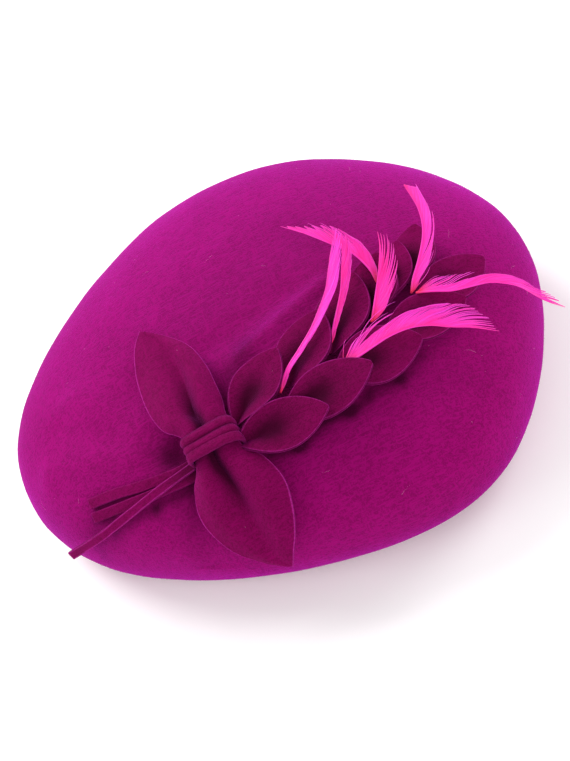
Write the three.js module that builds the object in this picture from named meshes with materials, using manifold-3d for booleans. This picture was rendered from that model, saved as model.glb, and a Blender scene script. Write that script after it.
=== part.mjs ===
// A felt beret: a blocked felt body with a rolled edge, trimmed along its front with a spray of felt
// leaves, a bound felt bow, three felt stems and seven dyed feathers.
// Millimetres, +Z up. The hat rests on its rolled edge, the trim lies in front (-Y), and the spray
// runs from the stems on the left (-X) to the last leaves on the right (+X).
import * as THREE from "three";
import { mergeVertices } from "three/addons/utils/BufferGeometryUtils.js";
import Module from "manifold-3d";

const wasm = await Module();
wasm.setup();

// ---- driving dimensions ----
const bodyFelt = 2.5; // wall of the blocked body
const trimFelt = 1.6; // felt of the leaves, bow, wrap and stems

const widestHeight = 28; // height of the body's widest line
const crownRise = 56; // top of the crown above the widest line
const shoulderPower = 2.42; // superellipse power of the crown's section, 2 would be a round arch
const rollInset = 24; // how far the edge rolls in below the widest line
const landWidth = 7; // flat ring that the hat rests on
const lipRise = 7; // height of the head opening's edge
const openingHalfLength = 94; // head opening, along X
const openingHalfWidth = 80; // head opening, along Y

const sprayHeading = 20; // degrees from +X to the way the spray of leaves runs
const shingleSlope = 0.23; // rise of each leaf along the spray, so that it lies over the next
const leafFullness = 0.85; // power of a leaf's outline, 1 would be a plain parabola
const leafBaseWidth = 0.2; // width that a leaf keeps at its cut base, as a share of its widest
const creaseFade = 2.5; // power with which a leaf's pinched crease opens towards its tip
const stemStrip = 4.8; // felt strips of the stems
const wrapStrip = 4.2; // felt strip wound round the bow
const wrapPitch = 4.5;
const wrapTurns = 3;
const wrapSquareness = 0.55; // power of the wound strip's section, 1 would be an ellipse
const quillRadius = 0.7;
const quillShare = 0.85; // how far along the spine the quill runs
const barbFelt = 0.8; // thickness of the fused barbs
const lockRoot = 1.2; // half width of a split lock where it leaves the vane
const lockTip = 0.3; // half width of its tip

// ---- tables ----
// Reach of the body's widest line from the crown's centre: a row every 30 degrees, 0 along +X.
const planReach = [
  { angle: 0, reach: 138 },
  { angle: 30, reach: 127 },
  { angle: 60, reach: 127 },
  { angle: 90, reach: 127 },
  { angle: 120, reach: 121 },
  { angle: 150, reach: 127 },
  { angle: 180, reach: 152 },
  { angle: 210, reach: 132 },
  { angle: 240, reach: 117 },
  { angle: 270, reach: 122 },
  { angle: 300, reach: 141 },
  { angle: 330, reach: 128 },
];

// Soft folds and hollows of the crown, each along a line in plan: height is over (+) or under (-) it.
const folds = [
  { fromX: -17, fromY: -34, toX: 34, toY: -16, width: 5, height: 1.2 }, // ridge behind the leaves
  { fromX: -31, fromY: -20, toX: 17, toY: -10, width: 9, height: -1.2 }, // hollow behind the ridge
  { fromX: -72, fromY: -56, toX: -66, toY: -60, width: 12, height: -3 }, // tuck beside the bow
  { fromX: -84, fromY: -50, toX: -126, toY: -24, width: 7, height: 1.4 }, // pleats from the tuck
  { fromX: -80, fromY: -44, toX: -110, toY: -8, width: 7, height: -1 },
  { fromX: -76, fromY: -38, toX: -100, toY: 2, width: 8, height: 1.1 },
];

// Leaves, from the lowest to the one that lies on all. base and tip are points of the crown in plan,
// lift is the height of the felt's middle at the base, and pinch the angle at which its halves stand.
const leaves = [
  { name: "leaf_back_6", baseX: 75, baseY: -38, tipX: 89, tipY: -7, width: 22, lift: 1.2, pinch: 30 },
  { name: "leaf_front_5", baseX: 70, baseY: -51, tipX: 104, tipY: -37, width: 22, lift: 2.9, pinch: 28 },
  { name: "leaf_back_5", baseX: 59, baseY: -44, tipX: 76, tipY: -16, width: 22, lift: 1.9, pinch: 28 },
  { name: "leaf_back_4", baseX: 42, baseY: -50, tipX: 63, tipY: -16, width: 24, lift: 1.8, pinch: 34 },
  { name: "leaf_back_3", baseX: 21, baseY: -56, tipX: 47, tipY: -23, width: 25, lift: 1.6, pinch: 36 },
  { name: "leaf_back_2", baseX: -3, baseY: -65, tipX: 26, tipY: -39, width: 25, lift: 1.2, pinch: 38 },
  { name: "leaf_back_1", baseX: -29, baseY: -68, tipX: 1, tipY: -48, width: 24, lift: 1.2, pinch: 52 },
  { name: "leaf_front_4", baseX: 48, baseY: -61, tipX: 88, tipY: -56, width: 25, lift: 1.6, pinch: 34 },
  { name: "leaf_front_3", baseX: 19, baseY: -71, tipX: 60, tipY: -74, width: 26, lift: 1.2, pinch: 36 },
  { name: "leaf_front_2", baseX: -6, baseY: -78, tipX: 36, tipY: -76, width: 26, lift: 3.1, pinch: 36 },
  { name: "leaf_front_1", baseX: -28, baseY: -79, tipX: 9, tipY: -86, width: 22.5, lift: 3.8, pinch: 52 },
];

// Bow: one pointed strip of felt, bound at its waist. A row is a section from its left to its right
// edge, each as x, y, z. fold says where across it (0 left, 1 right) the pinched crease runs, and puff
// is the height of the two lobes beside the crease.
const bowRows = [
  { left: [-55, 5.4, 88.7], right: [-53.3, 3.9, 88.9], fold: 0.5, puff: 0 },
  { left: [-60, -1, 87.2], right: [-43.8, -7, 89], fold: 0.55, puff: 0.6 },
  { left: [-64.5, -10, 85.5], right: [-36.3, -19.5, 88.7], fold: 0.6, puff: 1.5 },
  { left: [-67.5, -22.5, 83.2], right: [-33.3, -33.5, 87.6], fold: 0.63, puff: 3 },
  { left: [-67.5, -38, 81.4], right: [-33.2, -46, 85], fold: 0.63, puff: 4.6 },
  { left: [-64.5, -50.4, 79.6], right: [-33.8, -55.5, 83], fold: 0.62, puff: 5.2 },
  { left: [-57.4, -62.4, 79.4], right: [-35.2, -64, 82.1], fold: 0.58, puff: 3.8 },
  { left: [-57.4, -77.6, 73.9], right: [-35, -79.8, 77.1], fold: 0.42, puff: 3.8 },
  { left: [-63, -84, 67.6], right: [-28, -90, 73.5], fold: 0.4, puff: 5.2 },
  { left: [-66.5, -92, 60.6], right: [-24, -102, 67.6], fold: 0.38, puff: 4.6 },
  { left: [-65.4, -100, 53.2], right: [-25.8, -111.7, 60.6], fold: 0.38, puff: 3 },
  { left: [-59.8, -108.5, 44.5], right: [-30.2, -118.7, 51], fold: 0.42, puff: 1.5 },
  { left: [-50, -116.3, 38], right: [-35, -121.7, 42.3], fold: 0.45, puff: 0.6 },
  { left: [-40, -122.3, 34], right: [-38.8, -122.8, 33.8], fold: 0.5, puff: 0 },
];

// The wrap's middle in plan, how far its loop reaches sideways, its lowest and highest felt above the
// crown, and the bow's row above the waist that it binds.
const wrapSeat = { x: -46.1, y: -70.6, halfWidth: 14.2, low: 2.6, high: 11.9, rowAbove: 6 };

// Stems, as points of the crown in plan with the height of the felt's middle above it.
const stems = [
  {
    name: "stem_back",
    route: [
      { x: -55, y: -67.3, lift: 1.3 },
      { x: -68, y: -65, lift: 1.3 },
      { x: -84, y: -61, lift: 1.3 },
      { x: -98, y: -56.5, lift: 1.3 },
      { x: -111.4, y: -51, lift: 1.3 },
    ],
  },
  {
    name: "stem_middle",
    route: [
      { x: -53, y: -77, lift: 1.3 },
      { x: -66, y: -75, lift: 1.3 },
      { x: -82, y: -70.6, lift: 1.3 },
      { x: -98, y: -64.5, lift: 1.3 },
      { x: -113, y: -57, lift: 1.3 },
    ],
  },
  {
    name: "stem_front",
    route: [
      { x: -62.6, y: -71.9, lift: 3.9 },
      { x: -76.5, y: -71, lift: 4.9 },
      { x: -93, y: -68.7, lift: 5.7 },
      { x: -109.8, y: -63.5, lift: 6.5 },
      { x: -125.5, y: -53.2, lift: 8.8 },
    ],
  },
];

// Feathers: the spine's points from root to tip, which side the barbs grow on (1 is left of the
// spine), the vane's width, and the split locks: start along the spine, length, and splay in degrees.
const feathers = [
  {
    name: "feather_1",
    side: -1,
    width: 6,
    spine: [
      { x: -7.2, y: -66.3, z: 82.4 },
      { x: 7.2, y: -54.7, z: 88.8 },
      { x: 23.8, y: -43.9, z: 94.9 },
      { x: 37.2, y: -29.2, z: 101 },
      { x: 48, y: -13.6, z: 105.8 },
    ],
    locks: [
      { start: 0.5, length: 24, splay: 16 },
      { start: 0.62, length: 22, splay: 14 },
    ],
  },
  {
    name: "feather_2",
    side: -1,
    width: 6,
    spine: [
      { x: 23.4, y: -56.1, z: 86.6 },
      { x: 32.6, y: -45.9, z: 90.6 },
      { x: 41.9, y: -31.8, z: 95.4 },
      { x: 49, y: -19.2, z: 99.9 },
      { x: 51.1, y: -10.3, z: 103.5 },
    ],
    locks: [{ start: 0.45, length: 20, splay: 18 }],
  },
  {
    name: "feather_3",
    side: 1,
    width: 9,
    spine: [
      { x: 56.5, y: -32.6, z: 87.6 },
      { x: 58.5, y: -21.3, z: 91.8 },
      { x: 55.4, y: -11.2, z: 97 },
      { x: 47.4, y: -5.9, z: 101.3 },
      { x: 38.8, y: -0.1, z: 103.5 },
      { x: 29.6, y: 8.5, z: 104.3 },
    ],
    locks: [
      { start: 0.5, length: 18, splay: -16 },
      { start: 0.62, length: 14, splay: -14 },
    ],
  },
  {
    name: "feather_4",
    side: -1,
    width: 8,
    spine: [
      { x: 44.7, y: -55.1, z: 86 },
      { x: 52.8, y: -43.5, z: 89 },
      { x: 61.4, y: -29.7, z: 92.9 },
      { x: 67.2, y: -15.8, z: 96 },
    ],
    locks: [
      { start: 0.2, length: 24, splay: 24 },
      { start: 0.36, length: 25, splay: 20 },
      { start: 0.5, length: 22, splay: 15 },
      { start: 0.64, length: 18, splay: 10 },
    ],
  },
  {
    name: "feather_5",
    side: -1,
    width: 6.5,
    spine: [
      { x: 68.8, y: -44, z: 84 },
      { x: 78.8, y: -33.9, z: 86.7 },
      { x: 86.3, y: -22.9, z: 89.8 },
      { x: 90.5, y: -9.7, z: 93.4 },
      { x: 90.3, y: 3.6, z: 96.8 },
    ],
    locks: [
      { start: 0.08, length: 20, splay: 22 },
      { start: 0.5, length: 20, splay: 18 },
    ],
  },
  {
    name: "feather_6",
    side: 1,
    width: 6,
    spine: [
      { x: 70.5, y: -46.8, z: 85.7 },
      { x: 86.4, y: -57.1, z: 85 },
      { x: 102.1, y: -62.4, z: 82.8 },
      { x: 113.3, y: -68.3, z: 78.5 },
      { x: 120.7, y: -77.6, z: 72.2 },
      { x: 127.7, y: -84.4, z: 64 },
    ],
    locks: [
      { start: 0.08, length: 17, splay: 24 },
      { start: 0.16, length: 20, splay: 20 },
      { start: 0.26, length: 20, splay: 15 },
    ],
  },
  {
    name: "feather_7",
    side: 1,
    width: 8.5,
    spine: [
      { x: 23.9, y: -65.8, z: 87.2 },
      { x: 40.2, y: -68.2, z: 88.9 },
      { x: 54.3, y: -70.3, z: 89.7 },
      { x: 65.4, y: -74.2, z: 88.4 },
      { x: 74.2, y: -80.5, z: 85.2 },
      { x: 93.8, y: -85.8, z: 73 },
    ],
    locks: [
      { start: 0.08, length: 26, splay: 17 },
      { start: 0.5, length: 27, splay: 16 },
      { start: 0.58, length: 28, splay: 10 },
    ],
  },
];

// ---- the crown's surface ----
// Reach of the widest line at an angle: a closed cubic B-spline through the table's rows.
function planReachAt(angle) {
  const count = planReach.length;
  const place = (angle * count) / (2 * Math.PI);
  const row = Math.floor(place);
  const t = place - row;
  const weights = [(1 - t) ** 3, 3 * t ** 3 - 6 * t ** 2 + 4, -3 * t ** 3 + 3 * t ** 2 + 3 * t + 1, t ** 3];
  const reachOf = (index) => planReach[THREE.MathUtils.euclideanModulo(row + index - 1, count)].reach;
  return weights.reduce((sum, weight, index) => sum + (weight * reachOf(index)) / 6, 0);
}

// The blocked crown without its folds, at a share of the way from its top to its widest line.
function smoothCrown(angle, share) {
  const radius = share * planReachAt(angle);
  const height = widestHeight + crownRise * Math.max(0, 1 - share ** shoulderPower) ** (1 / shoulderPower);
  return new THREE.Vector3(radius * Math.cos(angle), radius * Math.sin(angle), height);
}

function foldHeight(x, y) {
  return folds.reduce((sum, fold) => {
    const alongX = fold.toX - fold.fromX;
    const alongY = fold.toY - fold.fromY;
    const raw = ((x - fold.fromX) * alongX + (y - fold.fromY) * alongY) / (alongX ** 2 + alongY ** 2);
    const share = THREE.MathUtils.clamp(raw, 0, 1);
    const away = Math.hypot(x - fold.fromX - share * alongX, y - fold.fromY - share * alongY);
    return sum + fold.height * Math.exp(-((away / fold.width) ** 2));
  }, 0);
}

// The smooth crown's normal, from two small steps round and down it. They stay clear of the crown's top
// and of its widest line, where the steps would leave the surface.
function crownNormal(angle, share) {
  const turn = 0.01;
  const step = 0.004;
  const nearby = THREE.MathUtils.clamp(share, 0.02, 0.995);
  const across = smoothCrown(angle + turn, nearby).sub(smoothCrown(angle - turn, nearby));
  const outward = smoothCrown(angle, nearby + step).sub(smoothCrown(angle, nearby - step));
  return outward.cross(across).normalize();
}

// The crown's outer surface with its folds, and a point lifted off it along its normal.
function crownPoint(angle, share, lift = 0) {
  const point = smoothCrown(angle, share);
  return point.addScaledVector(crownNormal(angle, share), lift + foldHeight(point.x, point.y));
}

function crownOver(x, y, lift = 0) {
  const angle = Math.atan2(y, x);
  return crownPoint(angle, Math.hypot(x, y) / planReachAt(angle), lift);
}

// ---- meshes ----
function geometryOf(points, faces) {
  const geometry = new THREE.BufferGeometry();
  const numbers = points.flatMap((point) => [point.x, point.y, point.z]);
  geometry.setAttribute("position", new THREE.Float32BufferAttribute(numbers, 3));
  geometry.setIndex(faces.flat());
  return geometry;
}

// A closed felt sheet around a grid of mid-surface points, grid[row][column].
function feltSheet(grid, thickness) {
  const rows = grid.length;
  const columns = grid[0].length;
  const lastRow = rows - 1;
  const lastColumn = columns - 1;
  const at = (row, column) => grid[row][column];
  const normalAt = (row, column) => {
    const down = at(Math.min(row + 1, lastRow), column).clone().sub(at(Math.max(row - 1, 0), column));
    const over = at(row, Math.min(column + 1, lastColumn)).clone().sub(at(row, Math.max(column - 1, 0)));
    return down.cross(over).normalize();
  };
  const side = (height) =>
    grid.flatMap((line, row) =>
      line.map((point, column) => point.clone().addScaledVector(normalAt(row, column), height)),
    );
  const top = (row, column) => row * columns + column;
  const under = (row, column) => rows * columns + top(row, column);
  const faces = [];
  const quad = (a, b, c, d) => faces.push([a, b, c], [a, c, d]);
  for (let row = 0; row < lastRow; row++) {
    const below = row + 1;
    for (let column = 0; column < lastColumn; column++) {
      const next = column + 1;
      quad(top(row, column), top(below, column), top(below, next), top(row, next));
      quad(under(row, column), under(row, next), under(below, next), under(below, column));
    }
    quad(top(row, 0), under(row, 0), under(below, 0), top(below, 0));
    quad(top(row, lastColumn), top(below, lastColumn), under(below, lastColumn), under(row, lastColumn));
  }
  for (let column = 0; column < lastColumn; column++) {
    const next = column + 1;
    quad(top(0, column), top(0, next), under(0, next), under(0, column));
    quad(top(lastRow, column), under(lastRow, column), under(lastRow, next), top(lastRow, next));
  }
  return geometryOf([...side(thickness / 2), ...side(-thickness / 2)], faces);
}

// A geometry as a solid, and solids joined into one geometry.
function solidOf(geometry) {
  const bare = geometry.clone();
  bare.deleteAttribute("normal");
  bare.deleteAttribute("uv");
  const merged = mergeVertices(bare, 1e-4);
  const mesh = new wasm.Mesh({
    numProp: 3,
    vertProperties: new Float32Array(merged.attributes.position.array),
    triVerts: new Uint32Array(merged.index.array),
  });
  return new wasm.Manifold(mesh);
}

function fuse(geometries) {
  const joined = geometries.map(solidOf).reduce((whole, solid) => whole.add(solid));
  const mesh = joined.getMesh();
  const geometry = new THREE.BufferGeometry();
  geometry.setAttribute("position", new THREE.BufferAttribute(mesh.vertProperties, 3));
  geometry.setIndex(new THREE.BufferAttribute(mesh.triVerts, 1));
  return geometry;
}

// ---- the body ----
// Rings of the outer surface from the crown's top to the head opening, as functions of the angle.
function bodyRings() {
  const crownShares = [0.15, 0.29, 0.42, 0.54, 0.65, 0.75, 0.83, 0.895, 0.945, 0.98, 1];
  const rings = crownShares.map((share) => (angle) => crownPoint(angle, share));
  const ringAt = (inset, height) => (angle) => {
    const radius = planReachAt(angle) - inset;
    return new THREE.Vector3(radius * Math.cos(angle), radius * Math.sin(angle), height);
  };
  for (const degrees of [22.5, 45, 67.5, 90]) {
    const roll = THREE.MathUtils.degToRad(degrees);
    rings.push(ringAt(rollInset * (1 - Math.cos(roll)), widestHeight * (1 - Math.sin(roll))));
  }
  const landEdge = ringAt(rollInset + landWidth, 0);
  rings.push(landEdge);
  const openingEdge = (angle) =>
    new THREE.Vector3(openingHalfLength * Math.cos(angle), openingHalfWidth * Math.sin(angle), 0);
  for (const share of [0.5, 1]) {
    const rise = lipRise * Math.sin((share * Math.PI) / 2);
    rings.push((angle) => landEdge(angle).lerp(openingEdge(angle), share).setZ(rise));
  }
  return rings;
}

// The hollow felt body: the rings' surface, the same surface moved in by the felt's thickness, and the
// edge of the head opening between them.
function bodyGeometry() {
  const turns = 56;
  const rings = bodyRings();
  const lastRow = rings.length - 1;
  const outer = rings.map((ring) =>
    Array.from({ length: turns }, (_, turn) => ring((2 * Math.PI * turn) / turns)),
  );
  const normalAt = (row, turn) => {
    const down = outer[Math.min(row + 1, lastRow)][turn].clone().sub(outer[Math.max(row - 1, 0)][turn]);
    const over = outer[row][(turn + 1) % turns].clone().sub(outer[row][(turn + turns - 1) % turns]);
    return down.cross(over).normalize();
  };
  const inner = outer.map((ring, row) =>
    ring.map((point, turn) => point.clone().addScaledVector(normalAt(row, turn), -bodyFelt)),
  );
  const topOuter = crownPoint(0, 0);
  const topInner = topOuter.clone().setZ(topOuter.z - bodyFelt);
  const points = [topOuter, topInner, ...outer.flat(), ...inner.flat()];
  const outside = (row, turn) => 2 + row * turns + (turn % turns);
  const inside = (row, turn) => outside(row, turn) + rings.length * turns;
  const faces = [];
  const quad = (a, b, c, d) => faces.push([a, b, c], [a, c, d]);
  for (let turn = 0; turn < turns; turn++) {
    const next = turn + 1;
    faces.push([0, outside(0, turn), outside(0, next)]);
    faces.push([1, inside(0, next), inside(0, turn)]);
    for (let row = 0; row < lastRow; row++) {
      quad(outside(row, turn), outside(row + 1, turn), outside(row + 1, next), outside(row, next));
      quad(inside(row, turn), inside(row, next), inside(row + 1, next), inside(row + 1, turn));
    }
    quad(outside(lastRow, turn), inside(lastRow, turn), inside(lastRow, next), outside(lastRow, next));
  }
  return geometryOf(points, faces);
}

// ---- leaves ----
// Half width of a pointed leaf at a share of its length, 1 at its widest.
function leafOutline(share) {
  return (4 * share * (1 - share)) ** leafFullness + leafBaseWidth * (1 - share) ** 2;
}

// A leaf lies along the crown, tilted up along the spray, with its halves standing up from the crease.
function leafGeometry(leaf) {
  const shares = [0, 0.1, 0.22, 0.36, 0.5, 0.64, 0.78, 0.9, 0.985];
  const spread = [-1, -0.5, 0, 0.5, 1];
  const spray = THREE.MathUtils.degToRad(sprayHeading);
  const base = crownOver(leaf.baseX, leaf.baseY);
  const heading = crownOver(leaf.tipX, leaf.tipY).sub(base).normalize();
  const grid = shares.map((share) => {
    const x = THREE.MathUtils.lerp(leaf.baseX, leaf.tipX, share);
    const y = THREE.MathUtils.lerp(leaf.baseY, leaf.tipY, share);
    const middle = crownOver(x, y);
    const up = crownOver(x, y, 1).sub(middle);
    const left = up.clone().cross(heading).normalize();
    const halfWidth = (leaf.width / 2) * leafOutline(share);
    const stand = THREE.MathUtils.degToRad(leaf.pinch) * (1 - share) ** creaseFade;
    return spread.map((across) => {
      const spot = middle.clone().addScaledVector(left, -across * halfWidth * Math.cos(stand));
      const ahead = (spot.x - leaf.baseX) * Math.cos(spray) + (spot.y - leaf.baseY) * Math.sin(spray);
      const rise = Math.max(0, shingleSlope * ahead);
      return crownOver(spot.x, spot.y, leaf.lift + rise + Math.abs(across) * halfWidth * Math.sin(stand));
    });
  });
  return feltSheet(grid, trimFelt);
}

// ---- bow ----
function bowMiddle(row) {
  return new THREE.Vector3(...row.left).add(new THREE.Vector3(...row.right)).divideScalar(2);
}

function bowGeometry() {
  const lobeSteps = 4;
  const grid = bowRows.map((row, index) => {
    const before = bowRows[Math.max(index - 1, 0)];
    const after = bowRows[Math.min(index + 1, bowRows.length - 1)];
    const along = bowMiddle(after).sub(bowMiddle(before));
    const left = new THREE.Vector3(...row.left);
    const right = new THREE.Vector3(...row.right);
    const up = along.cross(right.clone().sub(left)).normalize();
    // Each lobe is an arch between an edge and the crease.
    return Array.from({ length: 2 * lobeSteps + 1 }, (_, step) => {
      const arch = (step % lobeSteps) / lobeSteps;
      const across = step < lobeSteps ? arch * row.fold : row.fold + (step / lobeSteps - 1) * (1 - row.fold);
      const rise = row.puff * Math.sin(Math.PI * arch);
      return left.clone().lerp(right, across).addScaledVector(up, rise);
    });
  });
  return feltSheet(grid, trimFelt);
}

// ---- wrap ----
// One strip wound round the bow's waist, as a flattened, squared helix.
function wrapGeometry() {
  const stepsPerTurn = 20;
  const seat = crownOver(wrapSeat.x, wrapSeat.y);
  const up = crownOver(wrapSeat.x, wrapSeat.y, 1).sub(seat).normalize();
  const [above, below] = [wrapSeat.rowAbove, wrapSeat.rowAbove + 1].map((index) => bowMiddle(bowRows[index]));
  const axis = below.sub(above);
  axis.addScaledVector(up, -axis.dot(up)).normalize();
  const side = axis.clone().cross(up).normalize();
  const middle = (wrapSeat.low + wrapSeat.high) / 2;
  const halfHeight = (wrapSeat.high - wrapSeat.low) / 2;
  const squared = (value) => Math.sign(value) * Math.abs(value) ** wrapSquareness;
  const grid = Array.from({ length: wrapTurns * stepsPerTurn + 1 }, (_, step) => {
    const turn = step / stepsPerTurn;
    const angle = 2 * Math.PI * turn - Math.PI / 2; // from below the waist
    const centre = seat
      .clone()
      .addScaledVector(side, wrapSeat.halfWidth * squared(Math.cos(angle)))
      .addScaledVector(up, middle + halfHeight * squared(Math.sin(angle)))
      .addScaledVector(axis, wrapPitch * (turn - wrapTurns / 2));
    return [-1, 1].map((edge) => centre.clone().addScaledVector(axis, (edge * wrapStrip) / 2));
  });
  return feltSheet(grid.reverse(), trimFelt);
}

// ---- stems ----
function stemGeometry(stem) {
  const points = stem.route.map(({ x, y, lift }) => crownOver(x, y, lift));
  const curve = new THREE.CatmullRomCurve3(points, false, "centripetal");
  const steps = 12;
  const grid = Array.from({ length: steps + 1 }, (_, step) => {
    const middle = curve.getPointAt(step / steps);
    const along = curve.getTangentAt(step / steps);
    const up = outwardAt(middle);
    const side = along.clone().cross(up).normalize();
    return [-1, 1].map((edge) => middle.clone().addScaledVector(side, (-edge * stemStrip) / 2));
  });
  return feltSheet(grid, trimFelt);
}

// The crown's normal under a point.
function outwardAt(point) {
  const angle = Math.atan2(point.y, point.x);
  return crownNormal(angle, Math.hypot(point.x, point.y) / planReachAt(angle));
}

// ---- feathers ----
function spineOf(feather) {
  const points = feather.spine.map(({ x, y, z }) => new THREE.Vector3(x, y, z));
  return new THREE.CatmullRomCurve3(points, false, "centripetal");
}

// A place on the spine with the way it runs and the side that the barbs grow on.
function spineFrame(curve, share, side) {
  const point = curve.getPointAt(share);
  const along = curve.getTangentAt(share);
  const outward = outwardAt(point).cross(along).normalize().multiplyScalar(side);
  return { point, along, outward };
}

// Width of the fused barbs at a share of the spine: narrow at the root, and running out at the tip.
function vaneWidthAt(feather, share) {
  const tipWidth = 0.5;
  const grown = Math.min(1, 0.3 + 2 * share);
  const tapered = (1 - share ** 3) ** 0.8;
  return tipWidth + feather.width * grown * tapered;
}

// A strip of fused barbs, from its edge at the spine to its free edge, with its upper side facing out.
function barbStrip(grid, side) {
  return feltSheet(side > 0 ? grid.map(([inner, outer]) => [outer, inner]) : grid, barbFelt);
}

function vaneGeometry(feather, curve) {
  const steps = 11;
  const grid = Array.from({ length: steps + 1 }, (_, step) => {
    const { point, outward } = spineFrame(curve, step / steps, feather.side);
    const width = vaneWidthAt(feather, step / steps);
    return [point, point.clone().addScaledVector(outward, width)];
  });
  return barbStrip(grid, feather.side);
}

// A lock of barbs that parts from the vane, bends back along it and narrows to a point.
function lockGeometry(feather, curve, lock) {
  const steps = 5;
  const rootInVane = 0.6; // share of the vane's width at which the lock starts
  const bend = 0.08;
  const sag = 0.06;
  const { point, along, outward } = spineFrame(curve, lock.start, feather.side);
  const start = point.clone().addScaledVector(outward, rootInVane * vaneWidthAt(feather, lock.start));
  const splay = THREE.MathUtils.degToRad(lock.splay);
  const run = along.clone().multiplyScalar(Math.cos(splay)).addScaledVector(outward, Math.sin(splay));
  const across = outward.clone().multiplyScalar(Math.cos(splay)).addScaledVector(along, -Math.sin(splay));
  const droop = outwardAt(point).multiplyScalar(-1);
  const grid = Array.from({ length: steps + 1 }, (_, step) => {
    const share = step / steps;
    const middle = start
      .clone()
      .addScaledVector(run, lock.length * share)
      .addScaledVector(outward, -bend * lock.length * share ** 2)
      .addScaledVector(droop, sag * lock.length * share ** 2);
    const halfWidth = THREE.MathUtils.lerp(lockRoot, lockTip, share);
    return [-1, 1].map((edge) => middle.clone().addScaledVector(across, edge * halfWidth));
  });
  return barbStrip(grid, feather.side);
}

function quillGeometry(curve) {
  const sides = 6;
  const steps = 10;
  const section = new THREE.Shape(
    Array.from({ length: sides }, (_, corner) => {
      const angle = (2 * Math.PI * corner) / sides;
      return new THREE.Vector2(quillRadius * Math.cos(angle), quillRadius * Math.sin(angle));
    }),
  );
  const spots = Array.from({ length: steps + 1 }, (_, step) => curve.getPointAt((quillShare * step) / steps));
  const path = new THREE.CatmullRomCurve3(spots, false, "centripetal");
  return new THREE.ExtrudeGeometry(section, { steps, bevelEnabled: false, extrudePath: path });
}

function featherGeometry(feather) {
  const curve = spineOf(feather);
  const locks = feather.locks.map((lock) => lockGeometry(feather, curve, lock));
  return fuse([vaneGeometry(feather, curve), quillGeometry(curve), ...locks]);
}

// ---- materials ----
const finishes = {
  bodyFelt: { color: 0xa8187c, roughness: 0.95, metalness: 0 },
  trimFelt: { color: 0x8a0e5c, roughness: 0.95, metalness: 0 },
  feather: { color: 0xf53cc0, roughness: 0.55, metalness: 0 },
};

function pieceOf(name, geometry, finish) {
  const mesh = new THREE.Mesh(geometry, new THREE.MeshStandardMaterial(finishes[finish]));
  mesh.name = name;
  return mesh;
}

// ---- assembly ----
const hat = new THREE.Group();
hat.add(pieceOf("beret_body", bodyGeometry(), "bodyFelt"));
hat.add(pieceOf("bow_felt", bowGeometry(), "trimFelt"));
hat.add(pieceOf("bow_wrap", wrapGeometry(), "trimFelt"));
stems.forEach((stem) => hat.add(pieceOf(stem.name, stemGeometry(stem), "trimFelt")));
leaves.forEach((leaf) => hat.add(pieceOf(leaf.name, leafGeometry(leaf), "trimFelt")));
feathers.forEach((feather) => hat.add(pieceOf(feather.name, featherGeometry(feather), "feather")));

// The part's origin is the middle of its box, on the surface that it rests on.
const box = new THREE.Box3().setFromObject(hat, true);
const centre = box.getCenter(new THREE.Vector3());
hat.position.set(-centre.x, -centre.y, -box.min.z);
const part = new THREE.Group();
part.add(hat);

export default part;
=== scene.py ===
# A magenta felt beret trimmed with felt leaves, a bound felt bow, felt stems and pink feathers.
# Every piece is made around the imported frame. Pieces are given in millimetres; the floor, the lights and
# the camera's distance in metres.
import bpy
import math
import numpy as np
from mathutils import Matrix, Vector


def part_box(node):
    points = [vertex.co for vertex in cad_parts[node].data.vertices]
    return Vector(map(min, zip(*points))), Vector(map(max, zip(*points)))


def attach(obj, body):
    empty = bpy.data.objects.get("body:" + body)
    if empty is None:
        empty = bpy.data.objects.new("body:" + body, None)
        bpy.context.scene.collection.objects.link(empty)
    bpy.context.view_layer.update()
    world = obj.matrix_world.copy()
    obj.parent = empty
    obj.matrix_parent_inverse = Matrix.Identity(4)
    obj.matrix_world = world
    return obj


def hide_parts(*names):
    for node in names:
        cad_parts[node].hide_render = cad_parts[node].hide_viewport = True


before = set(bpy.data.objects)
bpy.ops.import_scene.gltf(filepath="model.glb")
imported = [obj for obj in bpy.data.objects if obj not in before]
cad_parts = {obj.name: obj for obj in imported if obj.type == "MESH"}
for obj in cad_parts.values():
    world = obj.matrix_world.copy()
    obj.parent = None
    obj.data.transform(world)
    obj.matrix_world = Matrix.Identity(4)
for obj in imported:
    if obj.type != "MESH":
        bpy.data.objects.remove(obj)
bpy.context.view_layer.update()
mm = 0.001
print("frame loaded:", len(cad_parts), "nodes")

# The crown that all pieces lie on.
hat = {
    "planReach": [138, 127, 127, 127, 121, 127, 152, 132, 117, 122, 141, 128],  # every 30 degrees from +X
    "widestHeight": 28,
    "crownRise": 56,
    "shoulderPower": 2.42,  # 2 is a round arch, more is squarer
    "solidTurns": 56,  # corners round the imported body, whose box places everything here
    # fromX, fromY, toX, toY, width, height: soft ridges (+) and hollows (-) along lines in plan
    "folds": [
        (-17, -34, 34, -16, 5, 1.7), (-31, -20, 17, -10, 9, -1.6), (-72, -56, -66, -60, 12, -3),
        (-84, -50, -126, -24, 7, 1.4), (-80, -44, -110, -8, 7, -1), (-76, -38, -100, 2, 8, 1.1),
    ],
}


def planReachAt(angle):
    # a smooth closed curve between the twelve reaches
    reach = np.array(hat["planReach"], float)
    place = np.asarray(angle, float) * len(reach) / (2 * math.pi)
    row = np.floor(place).astype(int)
    t = place - row
    weights = ((1 - t) ** 3, 3 * t**3 - 6 * t**2 + 4, -3 * t**3 + 3 * t**2 + 3 * t + 1, t**3)
    return sum(w * reach[(row + i - 1) % len(reach)] for i, w in enumerate(weights)) / 6


def unit(vectors):
    return vectors / np.maximum(np.linalg.norm(vectors, axis=-1, keepdims=True), 1e-12)


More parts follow.
